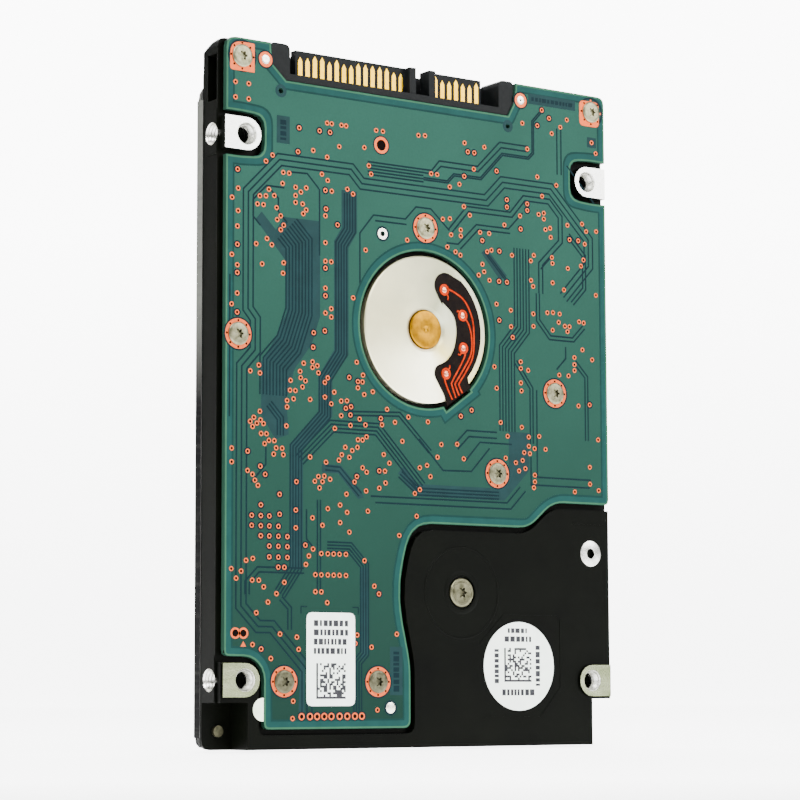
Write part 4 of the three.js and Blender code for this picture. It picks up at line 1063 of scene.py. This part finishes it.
class DRIVE_OT_tracks(DrivePiece):
    """Draws the dark gaps between the board's tracks, and the areas where tracks lie close"""
    bl_idname = "drive.tracks"
    bl_label = "Board tracks"

    def execute(self, context):
        width = context.scene.drive_board.line_width / MM
        areas = flat("board_dark_areas", DARK_AREAS, BOARD_FACE - HAIR, BOARD_FACE)
        finish_piece(areas, "solder_mask", "areas")
        runs = []
        for level, group in enumerate(LINE_RUNS, 2):
            for path, count, pitch in group:
                runs.append(flat("run", lanes(path, count, pitch, width),
                                 BOARD_FACE - level * HAIR, BOARD_FACE))
        finish_piece(joined("board_lines", runs), "solder_mask", "lines")
        return {"FINISHED"}


class DRIVE_OT_vias(DrivePiece):
    """Sets a copper ring at every via with a dark disc as painted shade for its hole, and a clearance
    ring where it has one
    """
    bl_idname = "drive.vias"
    bl_label = "Board vias"

    SIDES = 12

    def washer(self, radii, near):
        """A ring about the origin, or a disc where one radius is given."""
        return flat("washer", [circle((0, 0), radius, self.SIDES) for radius in radii],
                    near, BOARD_FACE)

    def execute(self, context):
        look = context.scene.drive_board
        ring, hole = look.via_radius / MM, look.via_hole / MM
        face = BOARD_FACE - VIA_RISE
        vias = PLAIN_VIAS + RINGED_VIAS
        # Each layer: its near face, its finish, its places, and its radii there and on the row.
        for name, near, finish, places, radii, row_radii in (
                ("via_rings", face, "copper", vias, (ring, hole), (ring * 1.45, hole * 1.5)),
                # the holes are flat dark discs, painted shade in place of real holes
                ("via_holes", face + 0.008, "hole", vias, (hole * 1.04,), (hole * 1.56,)),
                ("via_clearances", face + 0.01, "lines", RINGED_VIAS,
                 (ring * 1.62, ring * 0.98), (ring * 1.95, ring * 1.42))):
            layer = joined(name, [
                repeated("vias", self.washer(radii, near), places),
                repeated("row", self.washer(row_radii, near), SOLDER_ROW)])
            finish_piece(layer, "solder_mask", finish)
        return {"FINISHED"}


class DRIVE_OT_pads(DrivePiece):
    """Adds the larger copper rings, the connector's posts and the other marks on the board"""
    bl_idname = "drive.pads"
    bl_label = "Board pads and marks"

    FACE = BOARD_FACE - PAD_RISE
    UNDER = FACE + 0.006       # holes and gaps lie a little below the copper
    FIELD_RISE, HALO_RISE = 0.016, 0.018
    POSTS = [(-27.6, 97.4), (18.3, 97.5)]
    PIN = (-6.2, 5.7)
    STUD = (-7.4, 74.3)
    # Open rings: their place, and the radii of the ring and of its hole.
    OPEN_RINGS = [((-7.6, 87.4), 1.25, 0.8), ((-32.3, 16.05), 0.78, 0.5), ((-31, 16.05), 0.78, 0.5)]
    FIELDS = [(-25.7, -23.5, 85.6, 89.6), (19.8, 29, 97.2, 98.8), (-6.3, -4.1, 7.5, 14.4),
              (31.3, 33.1, 91.8, 93.4)]
    HALOS = [(-25, 93.2), (15.8, 93.2)]
    BARS = [(-25.1, -24.1, 86.1, 89.1, "z"), (20.4, 28.4, 97.7, 98.3, "x"),
            (-5.7, -4.7, 8, 13.9, "z")]
    TOP_ROW = 96               # the two screws above this height have squarer pads

    def ring(self, centre, outer, inner, near=FACE):
        return flat("ring", [circle(centre, outer, 40), circle(centre, inner, 32)],
                    near, BOARD_FACE)

    def screw_pads(self, radius):
        """The copper about each board screw, its small holes and the gap about it."""
        copper, dark, gaps = [], [], []
        for centre in BOARD_SCREWS:
            outline = circle(centre, radius, 48)
            if centre[1] > self.TOP_ROW and centre[0] < 0:
                outline = rounded([(-33.5, 95.2, 0.5), (-29.45, 95.2, 0.1), (-29.45, 99.4, 0.3),
                                   (-33.5, 99.4, 2.2)])
            elif centre[1] > self.TOP_ROW:
                outline = box_outline((centre[0] - 0.35, centre[1] - 0.3), 3.9, 4.0, 0.9)
            holes = [circle(polar(radius * 0.87, 45 * k, centre), 0.17, 10) for k in range(8)]
            copper.append(flat("pad", [outline, circle(centre, 1.0, 32), *holes],
                               self.FACE, BOARD_FACE))
            # Painted shade: the small holes about the pad are flat dark dots.
            dark += [flat("dot", [hole], self.UNDER, BOARD_FACE) for hole in holes]
            gaps.append(self.ring(centre, radius + 0.22, radius - 0.1, self.UNDER))
        return copper, dark, gaps

    def execute(self, context):
        face, under, ring = self.FACE, self.UNDER, self.ring
        copper, dark, gaps = self.screw_pads(context.scene.drive_hardware.ring_radius / MM)
        steel = []
        for centre in self.POSTS:
            copper.append(ring(centre, 1.12, 0.55))
            gaps.append(ring(centre, 1.34, 1.1, under))
            steel.append(turned("post", [(0, face + 0.02), (0.28, face - 0.03), (0.58, face - 0.02),
                                         (0.7, face + 0.01), (0.7, BOARD_FACE)], centre, 24))
        copper += [ring(*sizes) for sizes in self.OPEN_RINGS]
        copper.append(flat("arrow", [[(-31.45, 14.2), (-30.55, 14.2), (-31, 14.95)]],
                           face, BOARD_FACE))
        gaps += [ring(self.STUD, 1.12, 0.84, under), ring(self.PIN, 1.12, 0.8, under),
                 ring(self.OPEN_RINGS[0][0], 1.42, 1.2, under)]
        steel.append(ring(self.STUD, 0.86, 0.4, under))
        steel.append(turned("pin", [(0, face - 0.05), (0.3, face - 0.06), (0.6, face - 0.02),
                                    (0.8, face + 0.02), (0.8, BOARD_FACE)], self.PIN, 24))
        # Painted shade: each open ring's bore is a flat dark disc.
        dark += [flat("bore", [circle(centre, inner + 0.02, 24)], under + 0.01, BOARD_FACE)
                 for centre, _, inner in self.OPEN_RINGS]
        gaps += [flat("corner", [strip([(x, 18.9), (x, 19.9), (x + turn, 19.9)], 0.16)],
                      under, BOARD_FACE) for x, turn in ((-21.5, 1), (-11.8, -1))]
        fields = [flat("field", [rectangle(*sides)], BOARD_FACE - self.FIELD_RISE, BOARD_FACE)
                  for sides in self.FIELDS]
        fields += [ring(centre, 0.95, 0.42, BOARD_FACE - self.HALO_RISE) for centre in self.HALOS]
        finish_piece(joined("board_pads", copper), "solder_mask", "copper")
        finish_piece(joined("pad_holes", dark), "solder_mask", "hole")
        finish_piece(smooth(joined("board_pins", steel)), "screw_steel", "pin")
        finish_piece(joined("board_marks", gaps), "solder_mask", "lines")
        finish_piece(joined("board_fields", fields), "solder_mask", "areas")

        generator = random.Random(context.scene.drive_labels.seed + 3)
        bars = [bar for sides in self.BARS for bar in print_bars(generator, *sides)]
        finish_piece(flat("board_bars", bars, under, BOARD_FACE), "solder_mask", "lines")
        return {"FINISHED"}


def print_bars(generator, left, right, low, high, along="x"):
    """Generic bars of differing length in one row, standing for a line of print."""
    outlines = []
    start, stop = (left, right) if along == "x" else (low, high)
    at = start
    while at < stop - 0.25:
        long = min(generator.uniform(0.3, 0.85), stop - at)
        ends = (at, at + long)
        outlines.append(rectangle(*ends, low, high) if along == "x" else rectangle(left, right, *ends))
        at += long + generator.uniform(0.16, 0.3)
    return outlines


def code_patch(generator, left, right, low, high, cells):
    """A generic checker patch: random runs of filled cells, with one row and column solid."""
    step = ((right - left) / cells, (high - low) / cells)
    outlines = []
    for row in range(cells):
        column = 0
        while column < cells:
            length = 0
            while column + length < cells and (
                    row == 0 or column + length == 0 or generator.random() < 0.5):
                length += 1
                if column == 0 and row and length == 1 and generator.random() < 0.5:
                    break
            if length:
                x, z = left + column * step[0], low + row * step[1]
                outlines.append(rectangle(x, x + length * step[0], z, z + step[1] * 0.999))
            column += length + 1
    return outlines


# ------------------------------------------------------------------ screws

def star_cutter(radius, near, far, centre=(0, 0)):
    """A six-lobed prism for a screw's recess."""
    outline = [polar(radius * (1 + 0.24 * math.cos(math.radians(6 * angle))), angle, centre)
               for angle in range(0, 360, 6)]
    return flat("star", [outline], near, far)


def screw_pattern(name, head, seat, face, tip, star, toward=1):
    """A round-edged flat screw about the origin, driven from the board's side (toward is 1) or
    from the cover's (-1)."""
    rise, length = abs(seat - face), abs(tip - face)
    profile = [(0, 0), (head * 0.72, 0), (head * 0.8, 0.015), (head * 0.93, 0.05), (head, 0.13),
               (head, rise), (head * 0.5, rise), (head * 0.5, length), (0, length)]
    profile = [(radius, face + toward * depth) for radius, depth in profile]
    screw = turned(name, profile, (0, 0), 40)
    ends = sorted((face - toward * 0.2, face + toward * 0.42))
    return smooth(cut_by(screw, star_cutter(star, *ends)), 30)


class DRIVE_OT_screws(DrivePiece):
    """Replaces the plain screws with round-edged ones that have a star recess"""
    bl_idname = "drive.screws"
    bl_label = "Screws"

    BOARD_SEAT = BOARD_FACE - 0.04
    COVER_HEAD_HEIGHT = 0.4

    def execute(self, context):
        hardware = context.scene.drive_hardware
        star = hardware.star / MM
        for kind, places, head, toward in (
                ("board", BOARD_SCREWS, hardware.board_head, 1),
                ("cover", COVER_SCREWS, hardware.cover_head, -1)):
            face, tip = node_depths(f"{kind}_screw_1")[::toward]
            seat = self.BOARD_SEAT if kind == "board" else face - self.COVER_HEAD_HEIGHT
            pattern = screw_pattern("pattern", head / MM, seat, face, tip, star, toward)
            for i, (x, z) in enumerate(places, 1):
                finish_piece(copied(f"{kind}_screw_{i}_detail", pattern, x, z), "screw_steel",
                             replaces=(f"{kind}_screw_{i}",))
            bpy.data.objects.remove(pattern)

        face, tip = node_depths("pivot_screw")
        low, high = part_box("pivot_screw")
        head = (high[0] - low[0]) / 2 / MM
        profile = [(0, face + 0.02), (head * 0.7, face), (head * 0.74, face + 0.1),
                   (head * 0.8, face + 0.1), (head * 0.84, face), (head * 0.94, face + 0.03),
                   (head, face + 0.14), (head, face + 0.5), (head * 0.6, face + 0.5),
                   (head * 0.6, tip), (0, tip)]
        pivot = cut_by(turned("pivot_screw_detail", profile, PIVOT, 48),
                       star_cutter(star * 1.15, face - 0.2, face + 0.5, PIVOT))
        finish_piece(smooth(pivot, 30), "screw_steel", replaces=("pivot_screw",))
        return {"FINISHED"}


# ------------------------------------------------------------------ motor

class DRIVE_OT_motor(DrivePiece):
    """Turns the motor's face and the bearing's cap, and lays the printed leads on their tail"""
    bl_idname = "drive.motor"
    bl_label = "Spindle motor face"

    PADS = [(3.5, 66.95), (6.85, 63.4), (6.95, 58.5), (3.75, 54.5)]
    LEADS = [
        [(3.9, 67.2), (5.4, 66.7), (7.2, 65.6), (8.5, 63.4), (8.9, 60.9), (8.7, 57.5), (7.5, 55.2),
         (6.25, 53.4), (6.1, 52.9), (6.7, 51.8)],
        [(7.2, 63), (7.9, 62.2), (8.45, 60.4), (8.35, 57.8), (6.9, 55.3), (5.5, 53.3),
         (5.45, 52.8), (6.1, 51.4)],
        [(7.2, 58.2), (7.25, 57.5), (6.4, 55.9), (4.85, 53.4), (4.8, 52.8), (5.5, 51)],
        [(3.7, 54.2), (3.4, 53.9), (3.9, 52.5), (4.85, 50.7)],
    ]
    TAILS = [[(3.7, 66.5), (4.2, 66), (4.1, 65.5)], [(6.5, 63.7), (6, 64), (5.8, 63.8)],
             [(6.75, 58.1), (6.35, 57.5), (5.95, 57.6)], [(3.95, 55), (4.4, 55.4), (4.4, 55.8)]]

    def execute(self, context):
        face, foot = node_depths("motor_flange")
        flange = turned("motor_flange_face", [
            (2.9, face + 0.42), (2.94, face + 0.3), (3.36, face + 0.06), (3.46, face + 0.01),
            (4.9, face - 0.03), (5.1, face + 0.01),
            (10.72, face), (10.9, face + 0.13), (10.9, 1.9), (8.6, 1.9), (8.6, 1.6), (3.85, 1.6),
            (3.85, foot), (2.9, foot)], SPINDLE, 128)
        finish_piece(smooth(flange, 30), "machined_metal", replaces=("motor_flange",))
        cap_face, cap_foot = node_depths("bearing_end_cap")
        cap = turned("bearing_cap_turned", [
            (0, cap_face + 0.13), (0.22, cap_face + 0.11), (0.4, cap_face + 0.02),
            (0.55, cap_face + 0.06), (0.72, cap_face + 0.02), (0.9, cap_face + 0.02),
            (1.0, cap_face), (2.56, cap_face), (2.72, cap_face + 0.05), (2.8, cap_face + 0.16),
            (2.8, cap_foot), (0, cap_foot)], SPINDLE, 96)
        finish_piece(smooth(cap, 30), "brass", replaces=("bearing_end_cap",))

        film = node_depths("motor_flex")[0]
        leads = []
        for i, (pad, lead, tail) in enumerate(zip(self.PADS, self.LEADS, self.TAILS)):
            near = film - 0.02 - 0.003 * i
            leads.append(flat("lead_pad", [circle(pad, 0.86, 32)], near, film))
            leads.append(flat("lead", [strip(curved(lead), 0.25)], near - 0.002, film))
            leads.append(flat("lead_tail", [strip(curved(tail), 0.2)], near - 0.004, film))
            leads.append(turned("pad_rim", [(0.5, near), (0.56, near - 0.025), (0.78, near - 0.025),
                                            (0.86, near)], pad, 32))
        finish_piece(smooth(joined("motor_leads", leads)), "flex_film", "lead red")
        solder = [turned("solder", [(0, film - 0.066), (0.12, film - 0.064), (0.28, film - 0.05),
                                    (0.42, film - 0.03), (0.46, film)], pad, 24)
                  for pad in self.PADS]
        finish_piece(smooth(joined("motor_solder", solder), 60), "screw_steel", "solder")
        return {"FINISHED"}


# ------------------------------------------------------------------ connector

class DRIVE_OT_contacts(DrivePiece):
    """Replaces the plain contact combs with strips that have pointed, lifted tips"""
    bl_idname = "drive.contacts"
    bl_label = "Connector contacts"

    PITCH = 1.27
    WIDTH = 0.84
    TIPS = (99.5, 99.05)
    BLADE, POINT, LIFT = 0.76, 0.6, 0.03
    LONG = {"power_contacts": (2, 3, 5, 8, 9, 10, 11, 12), "signal_contacts": (0, 3, 6)}

    def execute(self, context):
        for node, long_ones in self.LONG.items():
            low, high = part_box(node)
            near, far = node_depths(node)
            foot, first = low[2] / MM, low[0] / MM + self.WIDTH / 2
            width = (high[0] - low[0]) / MM
            count = round(width / self.PITCH)
            half = self.BLADE / 2
            blades = []
            for i in range(count + (count * self.PITCH < width - self.WIDTH / 2)):
                x = first + i * self.PITCH
                tip = self.TIPS[i not in long_ones]
                blade = flat("blade", [[
                    (x - half, foot), (x + half, foot), (x + half, tip - self.POINT),
                    (x + 0.05, tip), (x - 0.05, tip), (x - half, tip - self.POINT)]],
                    near - self.LIFT, far)
                blades.append(modify(blade, "BEVEL", width=0.02 * MM, segments=1,
                                     limit_method="ANGLE", angle_limit=math.radians(60)))
            finish_piece(smooth(joined(node + "_strips", blades)), "gold_plate", replaces=(node,))
        return {"FINISHED"}


# ------------------------------------------------------------------ labels and cover

class DRIVE_OT_labels(DrivePiece):
    """Prints generic code patches and bars on the two labels beside the board"""
    bl_idname = "drive.labels"
    bl_label = "Labels on the base"

    def execute(self, context):
        labels = context.scene.drive_labels
        generator = random.Random(labels.seed)
        face = node_depths("board_label")[0]
        outlines = code_patch(generator, -19, -14, 7, 12, labels.cells)
        for z in (13.7, 15.0, 16.3, 17.6):
            outlines += print_bars(generator, -19.4, -13.6, z - 0.42, z + 0.42)
        finish_piece(flat("board_label_print", outlines, face - PRINT_RISE, face),
                     "label_paper", "ink")

        face = node_depths("base_label")[0]
        outlines = code_patch(generator, 14.3, 19.4, 9.4, 14.4, labels.cells)
        for bar in ((14.4, 19.4, 15.3, 16.1), (15, 18.6, 16.6, 17.3), (13.9, 20, 7.4, 8.3),
                    (20.2, 21, 8.8, 14.9, "z"), (12.5, 13.3, 9.2, 14.2, "z")):
            outlines += print_bars(generator, *bar)
        finish_piece(flat("base_label_print", outlines, face - PRINT_RISE, face),
                     "label_paper", "ink")
        return {"FINISHED"}


class DRIVE_OT_cover(DrivePiece):
    """Lays the cover's label with its generic print and its printed band"""
    bl_idname = "drive.cover"
    bl_label = "Cover details"

    SHEET_BELOW, PRINT_START = 0.008, 0.009     # both below the face of the print
    CORNER = 1.5

    def execute(self, context):
        labels = context.scene.drive_labels
        generator = random.Random(labels.seed + 1)
        near, far = node_depths("cover_label")
        low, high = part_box("cover_label")
        left, right = low[0] / MM, high[0] / MM
        bottom, top = low[2] / MM, high[2] / MM
        sheet = flat("cover_label_sheet", [rounded(
            [(x, z, self.CORNER) for x, z in rectangle(left, right, bottom, top)])],
            near, far - self.SHEET_BELOW)
        finish_piece(sheet, "label_paper", replaces=("cover_label",))

        outlines = code_patch(generator, right - 12, right - 4, bottom + 5, bottom + 13,
                              labels.cells + 2)
        for row in range(9):
            z = top - 18 - row * 3.4
            outlines += print_bars(generator, left + 4, left + 4 + generator.uniform(18, 40),
                                   z, z + (1.5 if row % 3 == 0 else 0.9))
        stripe = left + 4
        while stripe < right - 18:
            wide = generator.choice((0.25, 0.5, 0.75))
            outlines.append(rectangle(stripe, stripe + wide, bottom + 5, bottom + 12))
            stripe += wide + generator.choice((0.3, 0.6))
        for z in (bottom + 17, bottom + 22):
            outlines += print_bars(generator, left + 4, right - 5, z, z + 1)
        finish_piece(flat("cover_label_print", outlines, far - self.PRINT_START, far),
                     "label_paper", "ink")
        band = flat("cover_label_band", [rectangle(left + 3, right - 3, top - 12, top - 4)],
                    far - self.PRINT_START, far)
        finish_piece(band, "label_paper", "band")
        return {"FINISHED"}


# ------------------------------------------------------------------ stage

class DRIVE_OT_stage(DrivePiece):
    """Sets the pale floor with its curved backdrop, the studio lights and the camera"""
    bl_idname = "drive.stage"
    bl_label = "Stage"

    CAMERA = Vector((-220.71, -308.93, 7.29)) * MM
    TURN, TILT, ROLL = 35.278, 6.521, -0.194
    # Each light: place in metres, width in metres, power in watts.
    LIGHTS = [((-0.6, -0.9, 1.3), 1.0, 48), ((0.75, -1.0, 0.66), 0.9, 22),
              ((-1.3, -0.1, 0.55), 0.8, 10), ((0.1, -0.2, 1.6), 1.0, 16)]

    FLOOR_BELOW = 0.0003                     # metres from the drive's foot to the floor
    GLOW_LOW, GLOW_HIGH = (4.2,) * 3, (8,) * 3
    GLOW_RISE = 0.6                          # metres over which the backdrop's glow grows
    GLOW_EDGE = (-0.26, -0.14)               # metres in front of the drive where it fades in
    AMBIENT = 0.25
    AIM = Vector((0, 0, 0.05))
    SENSOR = 36

    def white(self, turn):
        """Pale floor that glows softly about and behind the drive, more so higher up."""
        white = Finish("studio white", emission_color=(1, 1, 1), emission_strength=1.0)
        grain = white.noise(0.02)
        turned_back = white.node("ShaderNodeVectorRotate", {"rotation_type": "Z_AXIS"}, {
            "Vector": white.place(), "Angle": -turn})
        behind = (white.axis("Y", turned_back) * MM).steps(*self.GLOW_EDGE)
        up = white.axis("Z", white.place()) * MM
        glow = white.mix((up * (1 / self.GLOW_RISE)).steps(0, 1), self.GLOW_LOW, self.GLOW_HIGH)
        glow = white.mix(behind, (0, 0, 0), glow)
        return white.set(base_color=white.mix(grain, (0.86, 0.86, 0.86), (0.9, 0.9, 0.9)),
                         roughness=0.8 + 0.1 * grain, emission_color=glow)

    def floor(self, width):
        """A floor that curves up into a backdrop, square to the camera."""
        turn = -math.radians(self.TURN)
        bpy.ops.object.select_all(action="DESELECT")
        bpy.ops.mesh.primitive_plane_add(size=width, location=(0, 0, -self.FLOOR_BELOW))
        floor = bpy.context.object
        floor.name = "studio_floor"
        edit(floor)
        bpy.ops.mesh.select_all(action="DESELECT")
        leave()
        for edge in floor.data.edges:
            edge.select = all(floor.data.vertices[i].co.y > 0 for i in edge.vertices)
        for vertex in floor.data.vertices:
            vertex.select = vertex.co.y > 0
        bpy.ops.object.mode_set(mode="EDIT")
        bpy.ops.mesh.extrude_region_move(TRANSFORM_OT_translate={"value": (0, 0, width / 2)})
        leave()
        floor.rotation_euler.z = turn
        settle(floor)
        modify(floor, "BEVEL", width=width / 6, segments=24, limit_method="ANGLE",
               angle_limit=math.radians(45))
        smooth(floor, 60)
        floor.data.materials.append(self.white(turn).material)
        floor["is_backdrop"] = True

    def ambient(self, scene):
        world = bpy.data.worlds.new("studio")
        scene.world = world
        world.use_nodes = True
        background = world.node_tree.nodes["Background"]
        background.inputs["Color"].default_value = (1, 1, 1, 1)
        background.inputs["Strength"].default_value = self.AMBIENT

    def softboxes(self, scene):
        for i, (place, width, power) in enumerate(self.LIGHTS):
            lamp = bpy.data.lights.new(f"softbox_{i}", "AREA")
            lamp.shape = "DISK"
            lamp.size = width
            lamp.energy = power
            light = bpy.data.objects.new(lamp.name, lamp)
            light.location = place
            aim = self.AIM - Vector(place)
            light.rotation_euler = aim.to_track_quat("-Z", "Y").to_euler()
            scene.collection.objects.link(light)

    def camera(self, scene):
        turn, tilt, roll = (math.radians(angle) for angle in (self.TURN, self.TILT, self.ROLL))
        ahead = Vector((math.sin(turn) * math.cos(tilt), math.cos(turn) * math.cos(tilt),
                        math.sin(tilt)))
        level = Vector((math.cos(turn), -math.sin(turn), 0))
        above = level.cross(ahead)
        right = level * math.cos(roll) + above * math.sin(roll)
        up = above * math.cos(roll) - level * math.sin(roll)
        lens = bpy.data.cameras.new("camera")
        lens.lens = scene.drive_stage.lens
        lens.sensor_width = self.SENSOR
        lens.clip_start = 0.005
        lens.clip_end = 50
        camera = bpy.data.objects.new("camera", lens)
        camera.matrix_world = Matrix.Translation(self.CAMERA) @ Matrix(
            (right, up, -ahead)).transposed().to_4x4()
        scene.collection.objects.link(camera)
        scene.camera = camera

    def execute(self, context):
        scene = context.scene
        self.floor(scene.drive_stage.floor_size)
        self.ambient(scene)
        if scene.drive_stage.lights:
            self.softboxes(scene)
        self.camera(scene)
        return {"FINISHED"}


# ------------------------------------------------------------------ panel and registration

PIECES = (
    DRIVE_OT_surfaces, DRIVE_OT_case, DRIVE_OT_board_edge, DRIVE_OT_tracks, DRIVE_OT_vias,
    DRIVE_OT_pads, DRIVE_OT_screws, DRIVE_OT_motor, DRIVE_OT_contacts, DRIVE_OT_labels,
    DRIVE_OT_cover, DRIVE_OT_stage,
)
SETTINGS = {
    "drive_board": BoardSettings,
    "drive_hardware": HardwareSettings,
    "drive_labels": LabelSettings,
    "drive_stage": StageSettings,
}


class DRIVE_PT_panel(bpy.types.Panel):
    """Lists the settings and the pieces of the drive"""
    bl_idname = "DRIVE_PT_panel"
    bl_label = "Hard disk drive"
    bl_space_type = "VIEW_3D"
    bl_region_type = "UI"
    bl_category = "Disk drive"

    def draw(self, context):
        for name, group in SETTINGS.items():
            box = self.layout.box()
            box.label(text=name.replace("drive_", "").title())
            for key in group.__annotations__:
                box.prop(getattr(context.scene, name), key)
        for piece in PIECES:
            self.layout.operator(piece.bl_idname)


def register():
    for cls in (*SETTINGS.values(), *PIECES, DRIVE_PT_panel):
        bpy.utils.register_class(cls)
    for name, group in SETTINGS.items():
        setattr(bpy.types.Scene, name, PointerProperty(type=group))


def unregister():
    for name in SETTINGS:
        delattr(bpy.types.Scene, name)
    for cls in reversed((*SETTINGS.values(), *PIECES, DRIVE_PT_panel)):
        bpy.utils.unregister_class(cls)


def main():
    register()
    for piece in PIECES:
        group, name = piece.bl_idname.split(".")
        getattr(getattr(bpy.ops, group), name)()
    boxes = {"cad": CAD_BOX, "visual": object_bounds()}
    {key: [list(corner) for corner in box] for key, box in boxes.items()}


if __name__ == "__main__":
    main()
